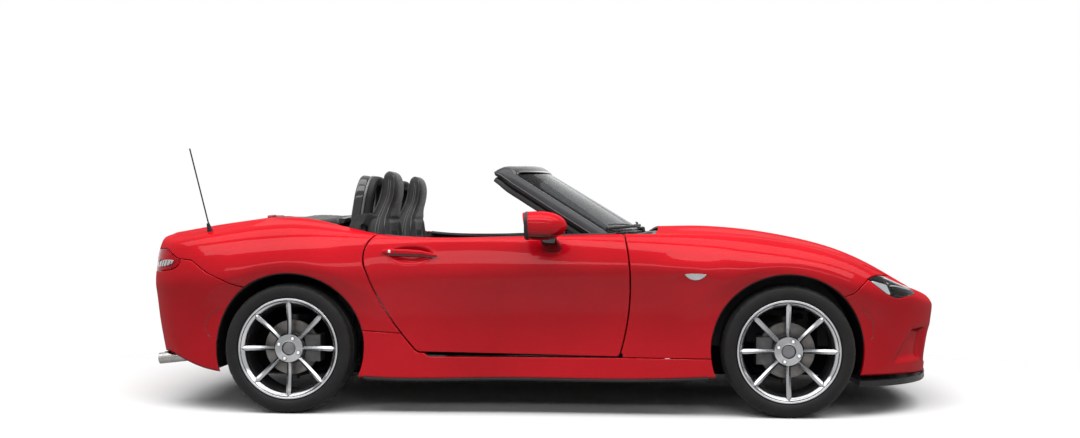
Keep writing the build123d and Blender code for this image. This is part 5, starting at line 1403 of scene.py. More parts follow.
class RoadsterSeats(bpy.types.Operator):
    """Two bucket seats with piping and stitched seams, their belts and the sill plinths"""
    bl_idname = "roadster.seats"
    bl_label = "Seats"

    def execute(self, context):
        back, cushion = seat_back_rings(), cushion_rings()
        for label, rings in (("back", back), ("cushion", cushion)):
            shell = capped(rings)
            for side, middle in (("left", SEAT_Y), ("right", -SEAT_Y)):
                shifted = shell[0] + (0, middle, 0), shell[1]
                made = piece(f"seat_{label}_{side}", shifted, ["leather", "perforated"], stands_for=["seats"])
                self.mark_panels(made, middle, label)
        outline = loop_2d(1, 1, BACK_POWER, back.shape[1])
        around = loop_2d(1, 1, CUSHION_POWER, cushion.shape[1])
        rows = [stitches(*ring_line(back, column_near(outline, 1, sign * share) - shift * sign, 16, 72))
                for share, shift in ((.615, 0), (.585, 1)) for sign in (1, -1)]
        rows += [stitches(*ring_line(back, column_near(outline, a, sign), 8, 104))
                 for sign in (1, -1) for a in (.02, .26)]
        rows += [stitches(*ring_line(cushion, column_near(around, sign * .635, 1), 8, 74)) for sign in (1, -1)]
        piece("seat_stitching", two_seats(joined(*rows)), "thread")
        pipes = []
        for sign in (1, -1):
            line = ring_line(back, column_near(outline, .62, sign * .985), 6, 106)[0]
            pipes.append(tube(curve_through(line[::3], 90), .0026, 8))
        piece("seat_piping", two_seats(joined(*pipes)), "gloss_trim")
        plinth = pebble((-.350, 0, .212), (.430, .350, .092), 6, rings=16, sides=48)
        shield = pebble((-.520, .232, .300), (.230, .020, .110), 4, turn_y(-14))
        recliner = turned([(.0001, .012), (.024, .010), (.028, .004), (.028, -.010), (.0001, -.010)], 36,
                          (-.600, .246, .322))
        shield_b = pebble((-.520, -.232, .300), (.230, .020, .110), 4, turn_y(-14))
        piece("seat_plinths", two_seats(joined(plinth, shield, shield_b, recliner)), "plastic", sharp=45)
        self.belts()
        return {"FINISHED"}

    def mark_panels(self, made, middle, label):
        """Gives the perforated middle of a seat its own finish."""
        c, n = face_places(made.data)
        facing, along, low, high = (0, 2, .44, .845) if label == "back" else (2, 0, -.57, -.19)
        inner = (np.abs(c[:, 1] - middle) < .128) & (n[:, facing] > .5)
        inner &= (c[:, along] > low) & (c[:, along] < high)
        made.data.polygons.foreach_set("material_index", inner.astype(np.int32))

    def belts(self):
        """Belt webbing from the foot of each hoop over the shoulder, down the back to a buckle."""
        shells, buckles = [], []
        for side in (1, -1):
            path = curve_through([(-.900, side * .560, .850), (-.862, side * .552, .905), (-.820, side * .545, .905),
                                  (-.790, side * .545, .872), (-.770, side * .560, .800), (-.730, side * .600, .640),
                                  (-.660, side * .628, .420), (-.640, side * .640, .300)], 90)
            along = tangents(path)
            wide = unit(np.cross(along, (0, side, 0)))
            shells.append(swept(path, wide, np.cross(wide, along), loop_2d(.0235, .0011, 6, 20)))
            buckles.append(pebble((-.812, side * .546, .898), (.060, .016, .070), 4, turn_y(25)))
            buckles.append(pebble((-.520, side * .150, .470), (.030, .026, .075), 4, turn_y(-12)))
        piece("seat_belts", joined(*shells), "webbing")
        piece("belt_buckles", joined(*buckles), "plastic", sharp=40)


# ---------------------------------------------------------------- hoops
def hoop_path(half, top, foot, corner):
    """Arch in its own plane: up, round two corners and down."""
    t = np.linspace(0, math.pi / 2, 16)
    left = np.stack([-half + corner - corner * np.cos(t), top - corner + corner * np.sin(t)], -1)
    line = np.concatenate([[(-half, foot)], [(-half, (foot + top - corner) / 2)], left, left[::-1] * (-1, 1),
                           [(half, (foot + top - corner) / 2)], [(half, foot)]])
    return curve_through(standing(line), 84)


class RoadsterHoops(bpy.types.Operator):
    """Roll hoops behind the seats: padded front, grey strip, gloss back, and their feet"""
    bl_idname = "roadster.hoops"
    bl_label = "Roll hoops"

    def execute(self, context):
        lean = turn_y(9)
        foot = np.array([-.956, 0, .640])
        fronts, strips, backs, feet = [], [], [], []
        for y in (SEAT_Y, -SEAT_Y):
            path = hoop_path(.1415, .4720, .120, .105)
            out = np.cross(tangents(path), (1, 0, 0))
            out *= np.sign(out[len(out) // 2, 2])
            for store, ring in ((backs, loop_2d(.0235, .0240, 4, 28) + (0, .0215)),
                                (strips, loop_2d(.0246, .0075, 4, 20) + (0, .0500)),
                                (fronts, loop_2d(.0250, .0170, 3.2, 28) + (0, .0715))):
                points, faces = swept(path, out, (1, 0, 0), ring)
                store.append(outward((points @ lean.T + foot + (0, y, 0), faces)))
            feet.append(pebble((-.905, y, .792), (.150, .390, .110), 5, turn_y(6), 18, 60))
            feet.append(pebble((-.872, y, .842), (.070, .330, .060), 4, turn_y(9), 16, 48))
        piece("hoop_backs", joined(*backs), "gloss_trim", stands_for=["roll_hoops"], sharp=50)
        piece("hoop_strips", joined(*strips), "grey_strip", sharp=50)
        piece("hoop_pads", joined(*fronts), "plastic", sharp=50)
        piece("hoop_feet", joined(*feet), "trim", sharp=50)
        return {"FINISHED"}


# ---------------------------------------------------------------- folded top
def stowed_cloth():
    """The stowed top's upper panel and its drape into the well: a sheet over (u, v) that follows
    the rear deck's crown 6 mm down, sags between its two folded bows by 9 mm sin^2, falls away
    at its edges, and carries soft creases from noise in u and v."""
    u, v = np.meshgrid(np.linspace(0, 1, 45), np.linspace(-1, 1, 121), indexing="ij")
    half = .560 - .020 * u
    x = -.968 - .386 * u
    y = v * half
    z = crown_height(BOOT_LINE, x, y) - .007
    z = z - .007 * np.sin(math.pi * np.clip(u * 2, 0, 1)) ** 2 - .006 * np.sin(math.pi * np.clip(u * 2 - 1, 0, 1)) ** 2
    edge = np.minimum(np.minimum(u, 1 - u) * .386, (1 - np.abs(v)) * half)
    fall = np.clip(1 - edge / .030, 0, 1)
    z = z - .030 * fall ** 2.2
    phase = 3.2 * np.sin(2.1 * v + .4) + 1.3 * np.sin(5.3 * v)
    wrinkle = np.sin(9 * u + phase) * np.sin(17 * v + 4 * u)
    wrinkle = wrinkle + .5 * np.sin(23 * v - 6 * u + 1.7) * np.sin(13 * u + .6)
    z = z + .0014 * wrinkle * smooth_step(edge, .0, .06)
    z = z - .0022 * np.exp(-((u - .5) / .010) ** 2)
    z = z - .0016 * np.exp(-((np.abs(v) - .333) / .010) ** 2) * (u > .04)
    x = x + .012 * (1 - np.abs(v) ** 3) * (u < .02)
    return np.stack([x, y, z], -1), u, v, half


class RoadsterTop(bpy.types.Operator):
    """Soft top folded into its well: cloth panel, seams and the bow's front rail"""
    bl_idname = "roadster.top"
    bl_label = "Folded top"

    def execute(self, context):
        points, u, v, half = stowed_cloth()
        normals = normals_towards(points, (0, 0, 1))
        uv = np.tile(np.stack([np.ravel(u * .40), np.ravel(v * half)], -1), (2, 1))
        cloth = piece("top_cloth", panel(points, normals, [], wall=.0016)[:2], "cloth",
                      stands_for=["folded_top"], uv=uv)
        threads = [stitches(points[row, 4:-4:2] + normals[row, 4:-4:2] * .0004, normals[row, 4:-4:2], .0075, .0012)
                   for row in (21, 23)]
        stitch = piece("top_stitching", joined(*threads), "thread")
        x, y = np.full(60, -.958), np.linspace(-.545, .545, 60)
        bow = np.stack([x, y, crown_height(BOOT_LINE, x, y) - .022], -1)
        piece("top_bow", swept(bow, (1.0, 0, 0), (0, 0, 1.0), loop_2d(.013, .012, 4, 28)), "satin", sharp=50)
        return {"FINISHED"}


# ---------------------------------------------------------------- cockpit
def block_between(front, back, edges):
    """Closed block between two grids of the same (u, v), cut where each edge distance is 0.
    Its faces come in three lots: front, back and rim."""
    quads = grid_faces(*front.shape[:2])
    faces = np.concatenate([quads[:, [0, 1, 2]], quads[:, [0, 2, 3]]])
    values = np.concatenate([front.reshape(-1, 3), back.reshape(-1, 3)] + [e.reshape(-1, 1) for e in edges], 1)
    for k in range(len(edges)):
        values, faces = slice_shell(values, faces, 6 + k, 0.0, False)
    used, again = np.unique(faces, return_inverse=True)
    faces, values = again.reshape(-1, 3), values[used]
    count = len(values)
    sides = np.concatenate([faces[:, [0, 1]], faces[:, [1, 2]], faces[:, [2, 0]]]).astype(np.int64)
    rim = sides[~np.isin(sides[:, 0] * count + sides[:, 1], sides[:, 1] * count + sides[:, 0])]
    points = np.concatenate([values[:, :3], values[:, 3:6]])
    rim_faces = np.stack([rim[:, 1], rim[:, 0], rim[:, 0] + count, rim[:, 1] + count], 1)
    return outward((points, [faces, faces[:, ::-1] + count, rim_faces]))


def disc_facing(profile, centre, away, steps=40):
    """Turned part whose axis points along away: profile of (r, distance along it)."""
    points, faces = lathe(profile, (0, 0, 0), steps)
    away = unit(np.asarray(away, float))
    side = unit(np.cross(away, (0, 0, 1)))
    over = np.cross(side, away)
    return outward((points[:, :1] * side + points[:, 1:2] * away + points[:, 2:] * over + np.asarray(centre), faces))


class RoadsterDash(bpy.types.Operator):
    """Dashboard with its cowl, vents and screen"""
    bl_idname = "roadster.dash"
    bl_label = "Dashboard"

    def execute(self, context):
        outline = curve_through([(.575, .7895), (.47, .800), (.34, .812), (.22, .820), (.145, .818), (.106, .803),
                                 (.092, .775), (.098, .735), (.112, .700), (.122, .660), (.160, .615), (.240, .585),
                                 (.400, .568), (.575, .563)], 64)
        y = np.linspace(-.668, .668, 120)[:, None]
        x, z = outline[:, 0] + 0 * y, outline[:, 1] + 0 * y
        hood = np.exp(-((y - .362) / .135) ** 4)
        near = np.exp(-((x - .175) / .085) ** 2) * smooth_step(z, .74, .80)
        z = z + .034 * hood * near
        x = x - .020 * hood * smooth_step(z, .755, .80) * (1 - smooth_step(x, .2, .3))
        x = x + .010 * np.exp(-((z - .700) / .016) ** 2) * (x < .2)
        x = x + .030 * smooth_step(np.abs(y), .52, .668) ** 2 * (1 - smooth_step(x, .3, .5))
        piece("dash_pad", capped(np.stack([x, y + 0 * x, z], -1)), "plastic", stands_for=["dashboard"], sharp=60)
        self.vents()
        self.screen_and_dials()
        return {"FINISHED"}

    def vents(self):
        """Four round vents with three slats each."""
        ring_profile = [(.034, .004), (.040, .007), (.045, .004), (.046, -.012), (.034, -.012)]
        slat_profile = [(.0001, .001), (.012, .002), (.014, -.001), (.033, -.002), (.034, -.014), (.0001, -.014)]
        rings, inner = [], []
        for y_vent, x_vent in ((.588, .118), (.165, .098), (-.165, .098), (-.588, .118)):
            centre = (x_vent - .004, y_vent, .750)
            rings.append(disc_facing(ring_profile, centre, (-1, 0, .08)))
            inner.append(disc_facing(slat_profile, centre, (-1, 0, .08)))
            for k in (-1, 0, 1):
                inner.append(pebble((x_vent - .006, y_vent, .750 + k * .017), (.008, .060 - .014 * abs(k), .0035), 3,
                                    rings=8, sides=16))
        piece("vent_rings", joined(*rings), "satin", sharp=45)
        piece("vent_slats", joined(*inner), "trim", sharp=45)

    def screen_and_dials(self):
        """Centre screen, radio, three knobs and the three dials before the driver."""
        screen = pebble((.120, 0, .862), (.016, .190, .104), 7, turn_y(-12), 18, 60)
        radio = pebble((.094, 0, .690), (.018, .180, .046), 6, turn_y(-12), 14, 48)
        piece("centre_screen", joined(screen, radio), "gloss_trim", sharp=45)
        knob = [(.0001, .018), (.013, .017), (.016, .012), (.017, -.004), (.0001, -.004)]
        ring = [(.036, .006), (.039, .008), (.042, .004), (.042, -.004), (.036, -.004)]
        face = [(.0001, .0015), (.036, .001), (.036, -.003), (.0001, -.003)]
        for name, key, slot, profile, (x, y, pitch, z), lean, steps in (
                ("dash_knobs", "satin", None, knob, (.100, 0, .062, .652), .3, 40),
                ("dial_rings", "chrome", "cabin_plastic", ring, (.112, .362, .084, .786), .12, 48),
                ("dial_faces", "gloss_trim", "cabin_plastic", face, (.112, .362, .084, .786), .12, 48)):
            three = [disc_facing(profile, (x, y + k * pitch, z), (-1, 0, lean), steps) for k in (-1, 0, 1)]
            piece(name, joined(*three), key, sharp=45)


STEER = np.array([-.062, .362, .742])


def on_wheel(points):
    """Wheel coordinates (x, y in its plane, z towards the driver) to the car's."""
    tilt = math.radians(22)
    axis = np.array([-math.cos(tilt), 0, math.sin(tilt)])
    return STEER + points @ [(0, 1, 0), np.cross(axis, (0, 1, 0)), axis]


RIM_RADIUS = .175


class RoadsterSteering(bpy.types.Operator):
    """Steering wheel with a stitched rim, three spokes and a boss; stalks on the column"""
    bl_idname = "roadster.steering"
    bl_label = "Steering wheel"

    def execute(self, context):
        a = np.linspace(0, 2 * math.pi, 160, endpoint=False)
        out = np.stack([np.cos(a), np.sin(a), 0 * a], -1)
        grip = .0140 + .0012 * np.exp(-((((a - math.radians(35)) % math.pi) - 1.0) / .35) ** 2)
        rim = swept(RIM_RADIUS * out, out, (0, 0, 1), loop_2d(1, 1, 2.1, 28) * grip[:, None, None], wrap=True)
        rim = outward((on_wheel(rim[0]), rim[1]))
        spokes = []
        for angle, wide in ((0, .030), (180, .030), (-90, .036)):
            t = np.linspace(0, 1, 24)[:, None]
            r = .040 + .128 * t
            w = wide * (1 - .42 * t + .25 * t ** 2) / 2 + .006 * (1 - t)
            outline = loop_2d(1, 1, 3.4, 28)
            w = w * outline[:, 0]
            c, s = math.cos(math.radians(angle)), math.sin(math.radians(angle))
            spokes.append(capped(on_wheel(np.stack([r * c - w * s, r * s + w * c,
                                                    -.010 + .008 * t + (.0075 - .002 * t) * outline[:, 1]], -1))))
        boss = [(.0001, .016), (.022, .0155), (.040, .012), (.049, .004), (.051, -.012), (.046, -.026), (.0001, -.026)]
        points, faces = lathe(boss, (0, 0, 0), 56)
        boss = outward((on_wheel(points[:, [0, 2, 1]] * (1.12, 1, 1)), faces))
        piece("wheel_rim_leather", rim, "leather", "steering", stands_for=["steering_wheel"])
        piece("wheel_spokes", joined(*spokes), "satin", "steering", sharp=45)
        piece("wheel_boss", boss, "plastic", "steering", sharp=50)
        line = on_wheel(np.concatenate([out, out[:1]]) * (RIM_RADIUS - .015))
        towards = unit(on_wheel(0 * line[:1]) - line)
        piece("wheel_stitching", stitches(line, towards, .0065, .0014), "thread", "steering")
        shroud = pebble((.050, .362, .700), (.180, .110, .100), 4, turn_y(22), 20, 48)
        stalks = [tube(curve_through([(.020, .362 + k * .045, .705), (-.005, .362 + k * .115, .712),
                                      (-.012, .362 + k * .180, .722)], 16), np.linspace(.009, .006, 16), 14)
                  for k in (1, -1)]
        piece("column_shroud", joined(shroud, *stalks), "plastic", sharp=50)
        return {"FINISHED"}


class RoadsterConsole(bpy.types.Operator):
    """Console pads, gear lever in its boot, hand brake, carpets and the rear bulkhead trim"""
    bl_idname = "roadster.console"
    bl_label = "Console and carpets"

    def execute(self, context):
        lid = pebble((-.590, 0, .483), (.300, .190, .052), 5, rings=16, sides=56)
        share = np.linspace(0, 1, 18)[:, None]
        size = (.058 - .040 * share ** .8) * (1 + .05 * np.sin(share * 5 * math.pi))
        a, b = loop_2d(1, .88, 2.8, 40).T
        boot = capped(np.stack([size * a - .140 - .006 * share, size * b, .452 + .068 * share + 0 * a], -1))
        made = piece("console_leather", joined(lid, boot), "leather", sharp=60)
        ring = np.pad(loop_2d(.064, .058, 3, 60), ((0, 0), (0, 1)))
        bezel = swept(ring + (-.140, 0, .4585), unit(ring), (0, 0, 1), loop_2d(.004, .004, 2.4, 12), wrap=True)
        stem = tube([(-.144, 0, .50), (-.150, 0, .545)], .0062, 16)
        piece("gear_bezel", joined(bezel, stem), "chrome", sharp=40)
        knob = lathe_up([(.0001, .034), (.012, .033), (.021, .027), (.0255, .016), (.025, .003), (.018, -.010),
                         (.0085, -.020), (.0001, -.020)], (-.152, 0, .566), 40)
        brake = tube(curve_through([(-.310, -.060, .455), (-.360, -.062, .490), (-.470, -.066, .520),
                                    (-.505, -.067, .526)], 20),
                     np.array([.012] * 12 + [.014] * 8), 18, squash=1.1)
        piece("gear_knob", joined(outward(knob), brake), "plastic", sharp=50)
        self.linings()
        return {"FINISHED"}

    def linings(self):
        """Carpets of the floor and bulkhead, lining of the top's well, and the deck's corners."""
        sheets = []
        x, t = np.meshgrid(np.linspace(-.64, .578, 56), np.linspace(0, 1, 26), indexing="ij")
        rise = smooth_step(x, .40, .578)
        for side in (1, -1):
            y = side * (.139 + .535 * t)
            z = .170 + .16 * rise ** 1.4 + .003 * np.sin(31 * x + 9 * t) * np.sin(27 * t - 7 * x)
            hem = .010 * (np.exp(-(t / .05) ** 2) + np.exp(-((1 - t) / .05) ** 2))
            sheets.append(lining(np.stack([x - .02 * rise, y, z + hem], -1)))
        z, t = np.meshgrid(np.linspace(.17, .776, 26), np.linspace(-1, 1, 60), indexing="ij")
        sheets.append(lining(np.stack([-.874 + .0016 * np.sin(40 * t) * np.sin(30 * z), .612 * t, z], -1), (1, 0, 0)))
        piece("carpets", joined(*sheets), "carpet")
        x, t = np.meshgrid(np.linspace(-1.345, -.872, 24), np.linspace(-1, 1, 50), indexing="ij")
        piece("well_lining", lining(np.stack([x, .560 * t, .7835 + .002 * np.sin(18 * t + 9 * x)], -1)), "carpet")
        deck = []
        for side in (1, -1):
            x, t = np.meshgrid(np.linspace(-.955, -.800, 22), np.linspace(0, 1, 22), indexing="ij")
            y = side * (.548 + (.700 - .548) * t)
            z = .872 - .055 * t ** 1.6 - .14 * (x + .955) - .02 * (1 - t) * smooth_step(x, -.86, -.80)
            deck.append(lining(np.stack([x, y, z], -1), wall=.004))
        piece("deck_corners", joined(*deck), "plastic", sharp=50)


def lining(points, way=(0, 0, 1), wall=.003):
    """Thin sheet over a grid, its outer face looking the given way."""
    return panel(points, normals_towards(points, way), [], wall=wall)[:2]


# Ends of the door handle along the car.
HANDLE = (-.7015, -.4465)


class RoadsterDoorTrim(bpy.types.Operator):
    """Inner side of each door: jamb, trimmed panel with armrest and speaker, belt seal, handle"""
    bl_idname = "roadster.door_trim"
    bl_label = "Door trims and handles"

    def execute(self, context):
        points, normals, f = skin_between(5.4, 9.4, step=.016, lines=64)
        outer = points - normals * .0114
        x, z = points[..., 0], points[..., 2]
        pocket = (1 - smooth_step(np.abs(z - .375), .045, .060)) * (1 - smooth_step(np.abs(x - .02), .20, .24))
        trim_y = (.7035 + .010 * np.exp(-((z - .50) / .10) ** 2) + .016 * smooth_step(-f["door"], -.05, 0.0)
                  + .004 * smooth_step(z, .70, .80) + .016 * pocket)
        back = np.stack([x, np.minimum(trim_y, outer[..., 1] - .004), z], -1)
        shell, faces = block_between(outer, back, [f["door"] - .0046])
        belt_run = np.linspace(run_at(5.72), run_at(8.98), 100)
        belt = body_skin(belt_run, [1.0])[:, 0]
        keep = (belt[:, 0] > DOOR_REAR_X + .078) & (belt[:, 0] < DOOR_FRONT_X - .062)
        belt = belt[keep] + (0, -.010, -.0005)
        seal = swept(belt, (0, 1, 0), (0, 0, 1), loop_2d(.0125, .0062, 3, 20))
        wiper = swept(belt + (0, -.024, -.004), (0, 1, 0), (0, 0, 1), loop_2d(.0140, .0060, 4, 20))
        arm = pebble((-.215, .694, .545), (.520, .070, .052), 4, rings=16, sides=60)
        pull = tube(curve_through([(.02, .700, .585), (-.02, .672, .600), (-.14, .668, .600), (-.20, .690, .585)], 40),
                    .0105, 16)
        speaker, cone = (disc_facing(profile, (.235, .716, .400), (0, -1, 0), 56) for profile in (
            [(.062, .004), (.072, .008), (.080, .005), (.080, -.010), (.062, -.010)],
            [(.0001, .002), (.030, .000), (.062, .004), (.062, -.008), (.0001, -.008)]))
        release = pebble((.205, .692, .660), (.090, .016, .030), 4, rings=12, sides=30)
        for side, sign in (("left", 1), ("right", -1)):
            def put(name, shape, key, sharp):
                """One of the door's pieces, for this side."""
                return piece(f"{name}_{side}", shape if sign > 0 else mirrored(*shape), key,
                             f"{side}_door", sharp=sharp)
            made = put("door_inner", (shell, faces), ["paint", "plastic"], 35)
            self.darken(made, len(faces[2]))
            put("belt_seal", joined(seal, wiper), "rubber", 50)
            put("door_armrest", joined(arm, pull, cone), "plastic", 50)
            put("door_speaker", joined(speaker, release), "satin", 50)
            self.handle(put)
        return {"FINISHED"}

    def darken(self, made, rim):
        """The door's jamb, the last faces of its block, keeps the paint.  The rest and the top
        under the belt seals are black."""
        centres, normals = face_places(made.data)
        black = (normals[:, 2] > .6) & (centres[:, 2] > .78)
        black[:-rim] = True
        made.data.polygons.foreach_set("material_index", black.astype(np.int32))

    def handle(self, put):
        """Outside handle: a slim bar over its bowl, standing off the skin by 12 sin mm, with a dark strip flat on the
        skin below it that paints the bar's shadow, the lock and a button."""
        x = np.linspace(*HANDLE, 60)
        tall = np.interp(x, [HANDLE[0], -.698, -.690, -.66, -.60, -.53, -.48, -.455, HANDLE[1]],
                         [.0012, .0065, .0108, .0122, .0122, .0112, .0080, .0040, .0010])
        z = np.interp(x, [HANDLE[0], -.60, -.52, HANDLE[1]], [.7560, .7545, .7500, .7385])
        skin_y = self.skin_y(x, z)
        lift = .0075 + .0060 * np.sin(np.clip((x - HANDLE[0]) / (HANDLE[1] - HANDLE[0]), 0, 1) * math.pi) ** .6
        outline = loop_2d(1, 1, 2.8, 30)

        def bar(extra, drop, rise, thick):
            """Bar along the handle, taller by extra, lower by drop and rise off the skin."""
            ring = np.stack([x[:, None] + 0 * outline[:, 0], (skin_y + rise)[:, None] + thick * outline[:, 1],
                             (z - drop)[:, None] + (tall + extra)[:, None] * outline[:, 0]], -1)
            return capped(ring)
        put("handle_bar", bar(0, 0, lift, .0068), "paint", 60)
        # Painted shadow: a dark strip on the skin, lower and taller than the bar, that shows under it as the bar's
        # shadow line.
        put("handle_gasket", bar(.0028, .0040, 0 * x + .0005, .0034), "gloss_trim", 60)
        for name, key, at, high, steps, profile in (
                ("handle_lock", "chrome", -.6660, .7560, 28,
                 [(.0001, .0012), (.0056, .0010), (.0070, -.0004), (.0070, -.004), (.0001, -.004)]),
                ("handle_button", "gloss_trim", -.6360, .7558, 24,
                 [(.0001, .0008), (.0040, .0006), (.0046, -.004), (.0001, -.004)])):
            out = float(np.interp(at, x, skin_y + lift)) + .0068
            put(name, disc_facing(profile, (at, out, high), (0, 1, 0), steps), key, 40)

    def skin_y(self, x, z):
        """Half width of the unpressed skin at each (x, z), the nearest of a fine grid."""
        run = np.linspace(run_at(5.6), run_at(7.0), 160)
        grid = body_skin(run, np.linspace(.40, .95, 200)).reshape(-1, 3)
        far = (grid[:, None, 0] - x) ** 2 + (grid[:, None, 2] - z) ** 2
        return grid[np.argmin(far, axis=0), 1]


# ---------------------------------------------------------------- lamps and outside trim
def lamp_sheet(first, last, name):
    """Skin round a lamp on the left side, with its normals and distance inside the lamp."""
    points, normals, f = skin_between(first, last, step=.0100, lines=84, low=.42)
    return points, normals, f[name]


def lamp_shells(points, normals, inside, bowl):
    """Lens flush with the skin and the bowl behind it: depth = bowl (1 - (1 - d/0.03)^2) at d
    inside the outline, meeting the lens at the rim."""
    lens = panel(points - normals * .0006, normals, [inside - .0016], wall=.0035, roll=.0022)
    d = np.clip(inside / .030, 0, 1)
    floor = points - normals * (.006 + bowl * (1 - (1 - d) ** 2))[..., None]
    return lens, panel(floor, normals_towards(floor, normals), [inside + .002], wall=.002, square=(0,))


def both_lamps(name, parts, key, stands_for=()):
    """Object from trimmed panels and their mirror images."""
    shell, shade = panel_pair(parts)
    piece(name, shell, key, stands_for=stands_for, normals=shade)


def skin_at(points, normals, x, z):
    """Point of a skin grid nearest (x, z) in the side view, and its normal."""
    nearest = np.argmin((points[..., 0] - x) ** 2 + (points[..., 2] - z) ** 2)
    return points.reshape(-1, 3)[nearest], normals.reshape(-1, 3)[nearest]


class RoadsterLamps(bpy.types.Operator):
    """Head, tail, marker and brake lamps"""
    bl_idname = "roadster.lamps"
    bl_label = "Lamps"

    def execute(self, context):
        self.headlamps()
        self.tail_lamps()
        self.markers()
        bulge = pebble((-1.440, 0, .9195), (.056, .215, .026), 3.2, turn_y(-6), 18, 60)
        piece("high_brake_lamp", bulge, "red_lens", "boot", sharp=60)
        return {"FINISHED"}

    def headlamps(self):
        """Each headlamp: lens, dark bowl, bright lower wedge, light strip and projector."""
        points, normals, inside = lamp_sheet(10.3, 14.2, "headlamp")
        lens, bowl = lamp_shells(points, normals, inside, .034)
        both_lamps("headlamp_lens", [lens], "lens", ["headlamps"])
        both_lamps("headlamp_bowl", [bowl], "liner")
        x, z = points[..., 0], points[..., 2]
        wedge = np.minimum(np.minimum(inside - .0040, 1.630 - x - .35 * (z - .6)), .629 - .25 * (x - 1.545) - z)
        bright = panel(points - normals * .0075, normals, [wedge], wall=.002, square=(0,))
        both_lamps("headlamp_reflector", [bright], "chrome")
        line = [skin_at(points, normals, *place) for place in ((1.648, .6035), (1.680, .5990), (1.712, .5935),
                                                               (1.742, .5865), (1.764, .5790))]
        path = curve_through([place - away * .011 for place, away in line], 40)
        radius = np.interp(np.linspace(0, 1, 40), [0, .1, .9, 1], [.0030, .0050, .0042, .0015])
        strip = tube(path, radius, 14, squash=.8)
        crown, away = skin_at(points, normals, 1.668, .624)
        ring, eye = (disc_facing(profile, crown - away * .022, away, 48) for profile in (
            [(.0160, .002), (.0190, .005), (.0215, .002), (.0215, -.012), (.0160, -.012)],
            [(.0001, .0045), (.0060, .0040), (.0120, .0022), (.0165, -.0015), (.0165, -.010), (.0001, -.010)]))
        piece("headlamp_chrome", both_sides(*joined(strip, ring)), "chrome", sharp=50)
        piece("headlamp_projector", both_sides(*eye), "lens", sharp=50)

    def tail_lamps(self):
        """Each tail lamp: red lens and bowl, with a clear ribbed oval."""
        points, normals, inside = lamp_sheet(1.2, 3.7, "tail_lamp")
        lens, bowl = lamp_shells(points, normals, inside, .022)
        both_lamps("tail_lamp_lens", [lens], "red_glass", ["tail_lamps"])
        both_lamps("tail_lamp_bowl", [bowl], "red_lens")
        x, z = points[..., 0], points[..., 2]
        oval = 1 - ((x + 1.790) / .072) ** 2 - ((z - .694 - .15 * (x + 1.790)) / .0150) ** 2
        clear = panel(points + normals * .0006, normals,
                      [np.minimum(oval * .012, inside - .006)], wall=.003, roll=.0016)
        both_lamps("tail_lamp_reflector", [clear], "marker")
        ribs = []
        for k in range(6):
            px = -1.835 + .021 * k
            (low, away), (high, _) = skin_at(points, normals, px, .678), skin_at(points, normals, px + .012, .708)
            ribs.append(tube(np.array([low, (low + high) / 2, high]) + away * .0004, .0022, 8))
        piece("tail_lamp_ribs", both_sides(*joined(*ribs)), "gloss_trim", sharp=50)

    def markers(self):
        """Half-moon markers under the crease behind each front wheel."""
        points, normals, _ = skin_sheet(run_at(7.5), run_at(9.6), step=.0045, lines=170, low=.45, high=.75)
        arc = arc_2d((.7940, .6540), (.7460, .6270), (.6940, .6535), 30)
        outline = np.concatenate([arc, [(.7150, .6575), (.7700, .6575)]])
        lens = panel(points + normals * .0018, normals, [field_of(points, (0, 2), outline)], wall=.004, roll=.0024)
        both_lamps("side_markers", [lens], "marker")


def plate(low, high):
    """Square-edged block between two corners."""
    (a, b, c), (d, e, f) = low, high
    points = np.array([(a, b, c), (d, b, c), (d, e, c), (a, e, c), (a, b, f), (d, b, f), (d, e, f), (a, e, f)], float)
    return points, [np.array([(3, 2, 1, 0), (4, 5, 6, 7), (0, 1, 5, 4), (1, 2, 6, 5), (2, 3, 7, 6), (3, 0, 4, 7)])]


